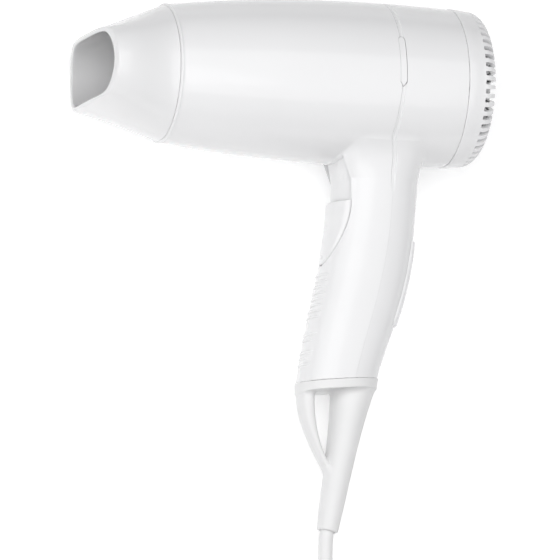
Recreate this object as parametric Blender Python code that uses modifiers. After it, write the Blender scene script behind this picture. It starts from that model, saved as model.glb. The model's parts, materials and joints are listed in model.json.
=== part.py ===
"""A compact hand-held hair dryer, at its real size, lying on its side on a table.

The dryer is drawn in its own frame: the barrel along X with the outlet towards -X, the handle towards
-Y, and both halves alike about Z = 0. The frame is then tipped about X until the barrel and the end of
the cord guard rest on the table. Dimensions are in millimetres, and MM turns them into metres.
"""

import math

import bmesh
import bpy
from mathutils import Matrix, Vector

MM = 0.001
GAP = 0.3

# How the dryer lies: its own frame's place in the world, and the tilt about X.
TILT = math.radians(9.1)
FRAME_PLACE = (51.4, 83.69, 37.5)

# Barrel: a long barrel-shaped tube, widest at BARREL_CREST.
BARREL_RADIUS = 37.5
BARREL_CREST = -19.0
BARREL_FRONT = -109.5
BARREL_FRONT_DROP = 6.2
BARREL_REAR_REACH = 53.0
BARREL_REAR_DROP = 1.5
CAP_SEAM = 26.0
REAR_FACE = 41.2
WALL = 2.2
BORE_STATIONS = (-19.0, -45.0, -70.0, -92.0)
SEAM_X = -5.5
SEAM_BEHIND_CENTRE = 2.2

# Handle: (height, centre, half length, half depth) of the grip's oval sections.
HANDLE_STATIONS = (
    (-14.0, -7.5, 21.6, 20.0),
    (-41.0, -7.7, 20.7, 18.6),
    (-56.0, -8.3, 20.4, 17.7),
    (-70.0, -9.6, 20.5, 17.0),
    (-85.0, -11.9, 20.8, 16.4),
    (-100.0, -15.2, 20.8, 16.0),
    (-115.0, -19.5, 19.9, 15.5),
    (-128.0, -23.2, 19.2, 15.0),
    (-139.2, -25.9, 18.5, 14.6),
)
HANDLE_SQUARENESS = 2.3
HANDLE_END = -139.2
HANDLE_WALL = 2.4
HANDLE_FLOOR = -136.7

# Slide switch on the front of the handle.
TRACK_TOP, TRACK_BOTTOM, TRACK_HALF_WIDTH = -38.0, -84.0, 12.8
SLIDER_TOP, SLIDER_BOTTOM, SLIDER_HALF_WIDTH = -53.0, -80.0, 12.1
SLIDER_TRAVEL = 11.0
SWITCH_FLATTENING = 0.8
STEM_TOP, STEM_BOTTOM, STEM_HALF_WIDTH = -62.0, -68.0, 1.8

# Cord guard and hanging loop: a cone whose axis leans forwards, and a strap in front of it.
GUARD_TOP = (-17.7, -141.0)
GUARD_LEAN = math.radians(10.4)
GUARD_LENGTH = 66.4
GUARD_SLEEVE = ((66.4, 4.9), (46.0, 6.1), (30.0, 6.7), (14.0, 7.9), (0.9, 9.4))
STRAP_STATIONS = (
    (-40.4, -141.0, 4.2, 6.4),
    (-40.6, -146.0, 4.1, 6.2),
    (-39.7, -153.5, 3.9, 5.8),
    (-37.9, -160.3, 2.9, 5.4),
    (-35.5, -166.8, 2.1, 5.0),
    (-33.0, -172.3, 1.8, 4.6),
    (-30.4, -177.2, 1.8, 4.2),
    (-27.2, -182.6, 1.8, 3.8),
)

# Nozzle: a round collar drawn out to a wide flat mouth.
MOUTH_X = -144.0
MOUTH_HALF_WIDTH, MOUTH_HALF_HEIGHT = 37.4, 14.25
MOUTH_SIDE_WALL, NOZZLE_WALL = 5.0, 1.7
MOUTH_SQUARENESS = 3.5

# Air path: fan, motor and heater on the barrel's axis.
DUCT_RADIUS, DUCT_WALL = 32.9, 1.4
MOTOR_RADIUS, MOTOR_FRONT, MOTOR_REAR = 12.5, -24.0, 3.7
SHAFT_RADIUS = 1.5
FAN_CENTRE, FAN_RADIUS, FAN_BLADES = 15.0, 30.4, 7
HEATER_FRONT, HEATER_REAR, HEATER_HALF_WIDTH = -94.0, -38.0, 21.5
ELEMENT_RADIUS, ELEMENT_WIRE, ELEMENT_TURNS = 23.4, 0.6, 4
SLIT_COUNT, SLIT_WIDTH, SLIT_FRONT = 54, 1.8, 35.6

# Cord: a 1.8 m two-core lead, its free length coiled past the end of the guard.
CORD_RADIUS = 3.35
COIL_CENTRE = (9.0, -222.0)
COIL_OUTER, COIL_INNER, COIL_TOP = 50.05, 29.9, 18.4
TIE_HALF_WIDTH, TIE_THICKNESS = 4.0, 0.8
PLUG_PLACE = (91.0, -200.0, 6.9)
PLUG_SLEEVE, PLUG_LENGTH, PLUG_PIN_LENGTH = 12.0, 30.0, 19.0
PLUG_STATIONS = ((0.0, 6.5, 5.4), (8.0, 9.0, 6.6), (18.0, 12.8, 6.8), (PLUG_LENGTH, 13.2, 6.8))

SHELL_WHITE = ("shell_white", (0.86, 0.86, 0.85), 0.22, 0.0)
SWITCH_WHITE = ("switch_white", (0.80, 0.80, 0.80), 0.35, 0.0)
CORD_WHITE = ("cord_white", (0.84, 0.84, 0.83), 0.45, 0.0)
GREY_PLASTIC = ("inner_grey", (0.55, 0.56, 0.57), 0.5, 0.0)
MICA = ("mica", (0.62, 0.53, 0.38), 0.55, 0.0)
STEEL = ("steel", (0.60, 0.60, 0.62), 0.3, 1.0)
BRASS = ("brass", (0.75, 0.60, 0.30), 0.35, 1.0)
NICHROME = ("nichrome", (0.42, 0.38, 0.35), 0.45, 1.0)
COPPER = ("copper", (0.70, 0.38, 0.22), 0.4, 1.0)
BLACK_PLASTIC = ("black_plastic", (0.05, 0.05, 0.05), 0.5, 0.0)
GREEN_BOARD = ("circuit_board", (0.10, 0.28, 0.14), 0.5, 0.0)
RED_WIRE = ("wire_brown", (0.30, 0.13, 0.07), 0.5, 0.0)
BLUE_WIRE = ("wire_blue", (0.07, 0.15, 0.45), 0.5, 0.0)


# ---------------------------------------------------------------- scene, groups and materials


def clear_scene():
    for obj in list(bpy.data.objects):
        bpy.data.objects.remove(obj, do_unlink=True)


def make_collection(name):
    collection = bpy.data.collections.new(name)
    bpy.context.scene.collection.children.link(collection)
    return collection


clear_scene()
PARTS = make_collection("hair_dryer")
CUTTERS = make_collection("cutters")
CUTTERS.hide_render = True


def make_empty(name, place, tilt=0.0, parent=None):
    empty = bpy.data.objects.new(name, None)
    empty.location = Vector(place) * MM
    empty.rotation_euler = (tilt, 0.0, 0.0)
    empty.parent = parent
    PARTS.objects.link(empty)
    return empty


FRAME = make_empty("dryer_frame", FRAME_PLACE, TILT)
FRAME_MATRIX = Matrix.Translation(Vector(FRAME_PLACE)) @ Matrix.Rotation(TILT, 4, "X")


def material(finish):
    name, colour, roughness, metallic = finish
    made = bpy.data.materials.get(name)
    if made:
        return made
    made = bpy.data.materials.new(name)
    made.use_nodes = True
    shader = made.node_tree.nodes["Principled BSDF"]
    shader.inputs["Base Color"].default_value = (*colour, 1.0)
    shader.inputs["Roughness"].default_value = roughness
    shader.inputs["Metallic"].default_value = metallic
    made.diffuse_color = (*colour, 1.0)
    return made


def add_object(name, mesh, finish=None, parent=FRAME):
    """A named piece with its finish, or a helper that only cuts or joins when it has none."""
    obj = bpy.data.objects.new(name, mesh)
    obj.parent = parent
    if finish:
        mesh.materials.append(material(finish))
        PARTS.objects.link(obj)
    else:
        obj.hide_render = True
        obj.display_type = "WIRE"
        CUTTERS.objects.link(obj)
    return obj


def mesh_from(name, bm, smooth=True):
    bmesh.ops.recalc_face_normals(bm, faces=bm.faces)
    mesh = bpy.data.meshes.new(name)
    bm.to_mesh(mesh)
    bm.free()
    if smooth:
        mesh.shade_smooth()
        mesh.set_sharp_from_angle(angle=math.radians(35.0))
    return mesh


# ---------------------------------------------------------------- shapes


def box(name, low, high, finish=None, parent=FRAME):
    size = [(b - a) * MM for a, b in zip(low, high)]
    centre = [(a + b) / 2 * MM for a, b in zip(low, high)]
    bm = bmesh.new()
    place = Matrix.Translation(centre) @ Matrix.Diagonal((*size, 1.0))
    bmesh.ops.create_cube(bm, size=1.0, matrix=place)
    return add_object(name, mesh_from(name, bm, smooth=False), finish, parent)


def rod(name, start, end, radius, finish=None, parent=FRAME, end_radius=None, sides=20):
    """A cylinder or cone between two points."""
    start, end = Vector(start) * MM, Vector(end) * MM
    turn = (end - start).to_track_quat("Z", "Y").to_matrix().to_4x4()
    bm = bmesh.new()
    bmesh.ops.create_cone(
        bm,
        cap_ends=True,
        segments=sides,
        radius1=radius * MM,
        radius2=(radius if end_radius is None else end_radius) * MM,
        depth=(end - start).length,
        matrix=Matrix.Translation((start + end) / 2) @ turn,
    )
    return add_object(name, mesh_from(name, bm), finish, parent)


def turned(name, profile, finish=None, parent=FRAME, steps=48, matrix=None):
    """A profile of (radius, x) points, from the rear along its outer side, turned about the X axis."""
    bm = bmesh.new()
    points = [bm.verts.new((r * MM, 0.0, x * MM)) for r, x in profile]
    ends_on_axis = profile[0][0] == 0 and profile[-1][0] == 0
    for a, b in zip(points, points[1:] if ends_on_axis else points[1:] + points[:1]):
        bm.edges.new((a, b))
    mesh = bpy.data.meshes.new(name)
    bm.to_mesh(mesh)
    bm.free()
    obj = add_object(name, mesh, finish, parent)
    obj.matrix_local = (matrix or Matrix.Identity(4)) @ Matrix.Rotation(math.radians(90.0), 4, "Y")
    screw = obj.modifiers.new("turn", "SCREW")
    screw.steps = steps
    screw.render_steps = steps
    screw.use_merge_vertices = True
    screw.merge_threshold = 1e-6
    screw.use_smooth_shade = True
    return obj


def loft(name, rings, finish=None, parent=FRAME):
    """A closed solid through rings with the same number of points."""
    bm = bmesh.new()
    rows = [[bm.verts.new(Vector(p) * MM) for p in ring] for ring in rings]
    for row, following in zip(rows, rows[1:]):
        for i in range(len(row)):
            j = (i + 1) % len(row)
            bm.faces.new((row[i], row[j], following[j], following[i]))
    bm.faces.new(rows[0])
    bm.faces.new(rows[-1])
    return add_object(name, mesh_from(name, bm), finish, parent)


def tube(name, points, radius, finish, parent=FRAME):
    """A round wire along points."""
    curve = bpy.data.curves.new(name, "CURVE")
    curve.dimensions = "3D"
    curve.bevel_depth = radius * MM
    curve.bevel_resolution = 2
    curve.use_fill_caps = True
    spline = curve.splines.new("POLY")
    spline.points.add(len(points) - 1)
    for point, place in zip(spline.points, points):
        point.co = (*(Vector(place) * MM), 1.0)
    curve.materials.append(material(finish))
    obj = bpy.data.objects.new(name, curve)
    obj.parent = parent
    PARTS.objects.link(obj)
    return obj


def boolean(obj, operation, *others):
    for other in others:
        step = obj.modifiers.new(f"{operation.lower()}_{other.name}", "BOOLEAN")
        step.operation = operation
        step.solver = "EXACT"
        step.object = other
    return obj


def smooth_route(points, spacing):
    """Evenly spaced points along the Catmull-Rom curve through a few route points."""
    ends = [2 * Vector(points[0]) - Vector(points[1]), 2 * Vector(points[-1]) - Vector(points[-2])]
    all_points = [ends[0], *map(Vector, points), ends[1]]
    fine = []
    for a, b, c, d in zip(all_points, all_points[1:], all_points[2:], all_points[3:]):
        for k in range(24):
            t = k / 24
            fine.append(0.5 * (2 * b + (c - a) * t + (2 * a - 5 * b + 4 * c - d) * t**2
                               + (3 * b - a - 3 * c + d) * t**3))
    fine.append(Vector(points[-1]))
    total = sum((b - a).length for a, b in zip(fine, fine[1:]))
    count = max(3, round(total / spacing))
    route, walked, step = [fine[0]], 0.0, total / count
    for a, b in zip(fine, fine[1:]):
        length = (b - a).length
        while walked + length >= step * len(route) and len(route) < count:
            route.append(a.lerp(b, (step * len(route) - walked) / length))
        walked += length
    return [*route, fine[-1]]


# ---------------------------------------------------------------- the casing's surfaces


def barrel_radius(x):
    if x < BARREL_CREST:
        reach = BARREL_CREST - BARREL_FRONT
        return BARREL_RADIUS - BARREL_FRONT_DROP * ((BARREL_CREST - x) / reach) ** 2
    return BARREL_RADIUS - BARREL_REAR_DROP * ((x - BARREL_CREST) / BARREL_REAR_REACH) ** 2


def spread(low, high, count):
    return [low + (high - low) * i / (count - 1) for i in range(count)]


def handle_section(y):
    """Centre, half length and half depth of the grip at a height, smooth through the stations."""
    rows = HANDLE_STATIONS
    y = min(max(y, rows[-1][0]), rows[0][0])
    i = max(k for k in range(len(rows) - 1) if rows[k][0] >= y)
    before, a, b, after = rows[max(i - 1, 0)], rows[i], rows[i + 1], rows[min(i + 2, len(rows) - 1)]
    t = (y - a[0]) / (b[0] - a[0])
    values = []
    for k in (1, 2, 3):
        slope_a = (b[k] - before[k]) / (b[0] - before[0]) * (b[0] - a[0])
        slope_b = (after[k] - a[k]) / (after[0] - a[0]) * (b[0] - a[0])
        values.append(
            (2 * t**3 - 3 * t**2 + 1) * a[k]
            + (t**3 - 2 * t**2 + t) * slope_a
            + (3 * t**2 - 2 * t**3) * b[k]
            + (t**3 - t**2) * slope_b
        )
    return values


def superellipse(angle, half_width, half_height, squareness):
    c, s = math.cos(angle), math.sin(angle)
    power = 2.0 / squareness
    return (
        half_width * math.copysign(abs(c) ** power, c),
        half_height * math.copysign(abs(s) ** power, s),
    )


def handle_ring(y, offset, count=20):
    """The grip's oval at a height, moved outwards by offset. Below the grip it keeps the last one."""
    centre, half_length, half_depth = handle_section(y)
    ring = []
    for i in range(count):
        x, z = superellipse(
            2 * math.pi * i / count, half_length + offset, half_depth + offset, HANDLE_SQUARENESS
        )
        ring.append((centre + x, y, z))
    return ring


def handle_front(y, z, offset):
    """The point of the grip's front at a height and a distance across, moved outwards by offset."""
    centre, half_length, half_depth = handle_section(y)
    a, b = half_length + offset, half_depth + offset
    x = a * (1 - abs(z / b) ** HANDLE_SQUARENESS) ** (1 / HANDLE_SQUARENESS)
    return (centre - x, y, z)


def switch_face(y, z, offset):
    """The slide switch's surfaces are flatter across than the grip."""
    return (handle_front(y, SWITCH_FLATTENING * z, offset)[0], y, z)


def handle_rear(y, z, offset):
    centre = handle_section(y)[0]
    return (2 * centre - handle_front(y, z, offset)[0], y, z)


def curved_plate(name, surface, heights, half_width_at, low, high, finish=None, parent=FRAME, across=9):
    """A plate between two offsets of the grip's surface, as wide at each height as half_width_at says."""
    rings = []
    for y in heights:
        half_width = half_width_at(y)
        places = spread(-half_width, half_width, across)
        outer = [surface(y, z, high) for z in places]
        inner = [surface(y, z, low) for z in reversed(places)]
        rings.append(outer + inner)
    return loft(name, rings, finish, parent)


def seam_at(y):
    return SEAM_X if y > -41.0 else handle_section(y)[0] + SEAM_BEHIND_CENTRE


def parting_block(name, side, gap):
    """All that lies in front of the parting line (side -1) or behind it (side 1)."""
    heights = [70.0, -41.0, *spread(-48.0, -139.2, 14), -170.0]
    line = [(seam_at(y) + side * gap / 2, y) for y in heights]
    edge = [(side * 220.0, -170.0), (side * 220.0, 70.0)]
    outline = line + edge
    rings = [[(x, y, z) for x, y in outline] for z in (-60.0, 60.0)]
    return loft(name, rings)


def make_casing_helpers():
    """The solids that both half shells are cut from or with."""
    helpers = {}
    heights = [station[0] for station in reversed(HANDLE_STATIONS)]
    helpers["handle_outer"] = loft("handle_outer", [handle_ring(y, 0.0) for y in heights])
    inner = [handle_ring(y, -HANDLE_WALL) for y in [HANDLE_FLOOR, *heights[1:]]]
    helpers["handle_inner"] = loft("handle_inner", inner)
    inside = [(barrel_radius(x) - WALL, x) for x in (CAP_SEAM, 4.0, *BORE_STATIONS, BARREL_FRONT)]
    mouth = inside[-1][0]
    core = [(0.0, 60.0), (inside[0][0], 60.0), *inside, (mouth, -130.0), (0.0, -130.0)]
    helpers["barrel_inner"] = turned("barrel_inner", core, steps=36)
    return helpers


def barrel_profile(front, rear):
    xs = [rear, *[x for x in (4.0, -19.0, -40.0, -60.0, -85.0) if front < x < rear], front]
    return [(0.0, rear), *[(barrel_radius(x), x) for x in xs], (0.0, front)]


HELPERS = make_casing_helpers()
SCREW_HEIGHTS = (-93.0, -116.0)
CLAMP_HEIGHT = -128.4
CLAMP_REACH = 6.6


def guard_point(along, across=0.0):
    """A point on the guard's axis, so far from its top, and moved forwards by across."""
    down = Vector((-math.sin(GUARD_LEAN), -math.cos(GUARD_LEAN), 0.0))
    forwards = Vector((-math.cos(GUARD_LEAN), math.sin(GUARD_LEAN), 0.0))
    return Vector((*GUARD_TOP, 0.0)) + down * along + forwards * across


def make_front_shell():
    shell = turned("front_shell", barrel_profile(BARREL_FRONT, CAP_SEAM), SHELL_WHITE, steps=36)
    boolean(shell, "UNION", HELPERS["handle_outer"])
    boolean(shell, "DIFFERENCE", HELPERS["barrel_inner"], HELPERS["handle_inner"])
    boolean(shell, "INTERSECT", parting_block("front_block", -1, GAP))
    window_low = (-60.0, TRACK_BOTTOM, -TRACK_HALF_WIDTH)
    window_high = (-14.0, TRACK_TOP, TRACK_HALF_WIDTH)
    window = box("switch_window", window_low, window_high)
    boolean(shell, "DIFFERENCE", window)
    for i, y in enumerate(SCREW_HEIGHTS):
        front = handle_front(y, 0.0, -1.0)[0]
        seam = seam_at(y) - 0.6
        boss = rod(f"front_boss_{i}", (front, y, 0.0), (seam, y, 0.0), 3.0, sides=16)
        hole = rod(f"front_pilot_{i}", (seam - 14.0, y, 0.0), (seam + 5.0, y, 0.0), 1.7, sides=12)
        boolean(shell, "UNION", boss)
        boolean(shell, "DIFFERENCE", hole)
    hook = [(34.9, -6.2), (34.9, 3.0), (33.5, 3.0), (33.5, -14.0), (36.0, -14.0), (36.0, -6.2)]
    tongue = turned("snap_tongues", hook, steps=48)
    boolean(tongue, "INTERSECT", box("tongue_limit", (-20.0, -7.0, -40.0), (10.0, 20.0, 40.0)))
    boolean(shell, "UNION", tongue)
    return shell


def make_rear_shell():
    shell = turned("rear_shell", barrel_profile(BARREL_FRONT, CAP_SEAM), SHELL_WHITE, steps=36)
    boolean(shell, "UNION", HELPERS["handle_outer"])
    boolean(shell, "DIFFERENCE", HELPERS["barrel_inner"], HELPERS["handle_inner"])
    boolean(shell, "INTERSECT", parting_block("rear_block", 1, GAP))
    for i, y in enumerate(SCREW_HEIGHTS):
        rear = handle_rear(y, 0.0, -1.0)[0]
        seam = seam_at(y) + 0.6
        boss = rod(f"rear_boss_{i}", (seam, y, 0.0), (rear, y, 0.0), 4.2, sides=20)
        hole = rod(f"rear_hole_{i}", (seam - 5.0, y, 0.0), (rear + 9.0, y, 0.0), 1.8, sides=12)
        sunk = rod(f"rear_counterbore_{i}", (seam + 4.0, y, 0.0), (rear + 9.0, y, 0.0), 3.2, sides=20)
        boolean(shell, "UNION", boss)
        boolean(shell, "DIFFERENCE", hole, sunk)
    centre = guard_point((GUARD_TOP[1] - CLAMP_HEIGHT) / math.cos(GUARD_LEAN))[0]
    for i, z in enumerate((-CLAMP_REACH, CLAMP_REACH)):
        rear = handle_rear(CLAMP_HEIGHT, z, -1.0)[0]
        front = centre - CORD_RADIUS - 0.2
        seat = (front, CLAMP_HEIGHT, z)
        boss = rod(f"clamp_boss_{i}", seat, (rear, CLAMP_HEIGHT, z), 2.6, sides=16)
        pilot_ends = (front - 2.0, CLAMP_HEIGHT, z), (front + 9.0, CLAMP_HEIGHT, z)
        hole = rod(f"clamp_pilot_{i}", *pilot_ends, 1.6, sides=12)
        boolean(shell, "UNION", boss)
        boolean(shell, "DIFFERENCE", hole)
    neck = rod("guard_hole", guard_point(-9.0), guard_point(4.0), 5.8, sides=24)
    slot = box("latch_slot", (SEAM_X + 0.4, -5.0, -45.0), (SEAM_X + 3.2, 17.6, 45.0))
    boolean(shell, "DIFFERENCE", neck, slot)
    return shell


# ---------------------------------------------------------------- air path


def make_intake_grille():
    """Rear cap with a ring of slits round its rounded edge, and a spigot inside the rear shell."""
    round_radius = 5.2
    side = barrel_radius(36.0)
    corner = (side - round_radius, REAR_FACE - round_radius)
    arc = [math.radians(a) for a in (70.0, 20.0)]
    outer = [
        (corner[0] + round_radius * math.cos(a), corner[1] + round_radius * math.sin(a)) for a in arc
    ]
    inner = [(corner[0] + round_radius - WALL, corner[1]), (corner[0], REAR_FACE - WALL)]
    front = CAP_SEAM + GAP
    spigot = 33.8
    profile = [(0.0, REAR_FACE), (corner[0], REAR_FACE), *outer, (barrel_radius(front), front),
               (spigot, front), (spigot, 22.0),
               (spigot - 1.6, 22.0), (spigot - 1.6, front + 1.0), *inner, (0.0, REAR_FACE - WALL)]
    cap = turned("intake_grille", profile, SHELL_WHITE, steps=SLIT_COUNT)
    bm = bmesh.new()
    low, high = 23.5 * MM, 41.0 * MM
    for i in range(SLIT_COUNT):
        turn = Matrix.Rotation(2 * math.pi * (i + 0.5) / SLIT_COUNT, 4, "X")
        size = Matrix.Diagonal((14.0 * MM, SLIT_WIDTH * MM, high - low, 1.0))
        place = Matrix.Translation(((SLIT_FRONT + 7.0) * MM, 0.0, (low + high) / 2))
        bmesh.ops.create_cube(bm, size=1.0, matrix=turn @ place @ size)
    slits = add_object("intake_slits", mesh_from("intake_slits", bm, smooth=False))
    boolean(cap, "DIFFERENCE", slits)
    return cap


def make_lint_filter():
    """A ring with a coarse crossed mesh, held inside the cap."""
    rim = [(32.2, 33.0), (32.2, 31.0), (30.2, 31.0), (30.2, 33.0)]
    ring = turned("lint_filter", rim, GREY_PLASTIC, steps=28)
    for i, at in enumerate(spread(-16.0, 16.0, 3)):
        reach = math.sqrt(31.0**2 - at**2)
        upright = box(f"mesh_up_{i}", (31.4, -reach, at - 0.5), (32.3, reach, at + 0.5))
        across = box(f"mesh_across_{i}", (31.7, at - 0.5, -reach), (32.6, at + 0.5, reach))
        boolean(ring, "UNION", upright, across)
    return ring


def make_fan_duct():
    """Ring and hub cup joined by straight vanes, with a notch for the wires at the handle."""
    inner = DUCT_RADIUS - DUCT_WALL
    ring = turned("fan_duct", [(DUCT_RADIUS, 21.0), (DUCT_RADIUS, -26.0), (inner, -26.0), (inner, 21.0)],
                  GREY_PLASTIC, steps=40)
    cup = turned("motor_cup", [(15.0, 2.0), (15.0, -20.0), (12.9, -20.0), (12.9, 2.0)], steps=32)
    boolean(ring, "UNION", cup)
    for i in range(6):
        vane = box(f"vane_{i}", (-19.0, 14.0, -0.7), (-3.0, inner + 0.7, 0.7))
        vane.rotation_euler = (math.radians(60.0 * i + 30.0), 0.0, 0.0)
        boolean(ring, "UNION", vane)
    notch = box("wire_notch", (-30.0, -40.0, -9.0), (-15.0, -28.0, 9.0))
    boolean(ring, "DIFFERENCE", notch)
    return ring


def make_motor_parts(fan_axis):
    wall, bore = 1.0, SHAFT_RADIUS + GAP
    inside = MOTOR_RADIUS - wall
    can = [(0.0, MOTOR_FRONT + 1.2), (inside, MOTOR_FRONT + 1.2), (inside, MOTOR_REAR),
           (MOTOR_RADIUS, MOTOR_REAR), (MOTOR_RADIUS, MOTOR_FRONT), (0.0, MOTOR_FRONT)]
    turned("motor_can", can, STEEL, steps=28)
    cap_front = MOTOR_REAR + GAP
    turned("motor_end_cap", [(MOTOR_RADIUS, cap_front + 2.4), (MOTOR_RADIUS, cap_front), (bore, cap_front),
                             (bore, cap_front + 2.4)], BLACK_PLASTIC, steps=28)
    turned("motor_magnet", [(inside - GAP, 1.0), (inside - GAP, -20.0), (9.2, -20.0), (9.2, 1.0)],
           GREY_PLASTIC, steps=24)
    turned("motor_armature", [(8.6, -2.0), (8.6, -18.0), (bore, -18.0), (bore, -2.0)], COPPER,
           parent=fan_axis, steps=20)
    shaft_ends = (-20.0, 0.0, 0.0), (22.0, 0.0, 0.0)
    rod("motor_shaft", *shaft_ends, SHAFT_RADIUS, STEEL, parent=fan_axis, sides=12)


def make_fan_impeller(fan_axis):
    bore = SHAFT_RADIUS + GAP
    half = 5.4
    rear, front = FAN_CENTRE + half, FAN_CENTRE - half
    hub_profile = [(8.0, rear), (10.5, rear - 3.0), (10.5, front), (bore, front), (bore, rear)]
    hub = turned("fan_impeller", hub_profile,
                 GREY_PLASTIC, parent=fan_axis, steps=28)
    for i in range(FAN_BLADES):
        blade = box(f"blade_{i}", (-6.0, 9.5, -0.7), (6.0, FAN_RADIUS, 0.7), parent=fan_axis)
        turn = Matrix.Rotation(2 * math.pi * i / FAN_BLADES, 4, "X")
        pitch = Matrix.Rotation(math.radians(38.0), 4, "Y")
        blade.matrix_local = Matrix.Translation((FAN_CENTRE * MM, 0.0, 0.0)) @ turn @ pitch
        boolean(hub, "UNION", blade)
    return hub


def make_diode_board():
    disc = [(0.0, -25.8), (11.5, -25.8), (11.5, -27.0), (0.0, -27.0)]
    turned("diode_board", disc, GREEN_BOARD, steps=24)
    for i, (y, z) in enumerate(((6.0, -4.0), (6.0, 4.0), (-6.0, -4.0), (-6.0, 4.0)), start=1):
        rod(f"diode_{i}", (-28.8, y - 2.4, z), (-28.8, y + 2.4, z), 1.4, BLACK_PLASTIC, sides=12)
    box("noise_capacitor", (-33.0, -2.4, -4.5), (-27.4, 1.6, 4.5), MICA)


def make_heater():
    half = HEATER_HALF_WIDTH
    middle = (HEATER_FRONT + HEATER_REAR) / 2
    thin = 0.5
    upright = box("heater_board_upright", (HEATER_FRONT, -half, -thin), (HEATER_REAR, half, thin), MICA)
    across = box("heater_board_across", (HEATER_FRONT, -thin, -half), (HEATER_REAR, thin, half), MICA)
    reach = thin + GAP
    boolean(upright, "DIFFERENCE",
            box("upright_slot", (HEATER_FRONT - 5.0, -reach, -5.0), (middle + GAP, reach, 5.0)))
    boolean(across, "DIFFERENCE",
            box("across_slot", (middle - GAP, -5.0, -reach), (HEATER_REAR + 5.0, 5.0, reach)))
    for name, start in (("heater_coil_low", 0.0), ("heater_coil_high", 0.5)):
        pitch = (HEATER_REAR - HEATER_FRONT - 10.0) / (ELEMENT_TURNS + 0.5)
        steps = ELEMENT_TURNS * 10
        points = []
        for i in range(steps + 1):
            turns = i / 10
            angle = 2 * math.pi * turns
            x = HEATER_FRONT + 5.0 + pitch * (turns + start)
            points.append((x, ELEMENT_RADIUS * math.cos(angle), ELEMENT_RADIUS * math.sin(angle)))
        tube(name, points, ELEMENT_WIRE, NICHROME)
    turned("heat_liner", [(28.4, -35.0), (28.4, -95.5), (27.6, -95.5), (27.6, -35.0)], MICA, steps=40)
    box("thermostat", (-53.0, 5.0, 0.8), (-43.0, 15.0, 4.6), BLACK_PLASTIC)
    rod("thermal_fuse", (-56.0, -12.0, 2.6), (-44.0, -12.0, 2.6), 1.7, STEEL, sides=14)


def make_outlet_grille():
    """Rings and spokes across the front of the barrel, behind the nozzle."""
    rear, front = -97.4, -100.2
    outside = 29.8
    grille = turned("outlet_grille", [(outside, rear), (outside, front), (outside - 2.0, front),
                                      (outside - 2.0, rear)], GREY_PLASTIC, steps=24)
    for i, radius in enumerate((8.0, 18.0)):
        ring = turned(f"grille_ring_{i}", [(radius, rear - 0.4), (radius, front + 0.4),
                                           (radius - 1.4, front + 0.4),
                                           (radius - 1.4, rear - 0.4)], steps=18)
        boolean(grille, "UNION", ring)
    for i in range(6):
        spoke = box(f"spoke_{i}", (front + 0.6, 7.2, -0.6), (rear - 0.6, outside - 1.2, 0.6))
        spoke.rotation_euler = (math.radians(60.0 * i), 0.0, 0.0)
        boolean(grille, "UNION", spoke)
    return grille


# ---------------------------------------------------------------- nozzle


def nozzle_ring(x, inset, side_inset, count=36):
    """The nozzle's section: a circle at the barrel, a wide flat oval at the mouth."""
    t = (x - BARREL_FRONT) / (MOUTH_X - BARREL_FRONT)
    radius = barrel_radius(BARREL_FRONT)
    widen = t * t * (3 - 2 * t)
    half_width = radius + (MOUTH_HALF_WIDTH - radius) * widen - side_inset
    half_height = radius + (MOUTH_HALF_HEIGHT - radius) * t - inset
    squareness = 2.0 + (MOUTH_SQUARENESS - 2.0) * t
    ring = []
    for i in range(count):
        z, y = superellipse(2 * math.pi * i / count, half_width, half_height, squareness)
        ring.append((x, y, z))
    return ring


def make_nozzle(nozzle_axis):
    """Collar, flattened cone and mouth, with a spigot that turns inside the barrel's front."""
    rear = BARREL_FRONT - GAP
    xs = spread(rear, MOUTH_X, 6)
    spigot, bore = 28.7, 27.3
    shell = loft("nozzle", [nozzle_ring(x, 0.0, 0.0) for x in xs], SHELL_WHITE, nozzle_axis)
    collar = rod("nozzle_spigot", (rear - 4.0, 0.0, 0.0), (BARREL_FRONT + 6.0, 0.0, 0.0), spigot, sides=36,
                 parent=nozzle_axis)
    boolean(shell, "UNION", collar)
    hollow = [(BARREL_FRONT + 10.0, bore, bore), (BARREL_FRONT - 1.5, bore, bore)]
    rings = []
    for x, half_width, half_height in hollow:
        rings.append([(x, y, z) for z, y in
                      (superellipse(2 * math.pi * i / 36, half_width, half_height, 2.0) for i in range(36))])
    for x in spread(BARREL_FRONT - 7.0, MOUTH_X, 4):
        t = (x - BARREL_FRONT) / (MOUTH_X - BARREL_FRONT)
        rings.append(nozzle_ring(x, NOZZLE_WALL, 3.0 + (MOUTH_SIDE_WALL - 3.0) * t))
    last = rings[-1]
    rings.append([(MOUTH_X - 6.0, y, z) for _, y, z in last])
    boolean(shell, "DIFFERENCE", loft("nozzle_hollow", rings, parent=nozzle_axis))
    return shell


# ---------------------------------------------------------------- handle fittings


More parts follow.
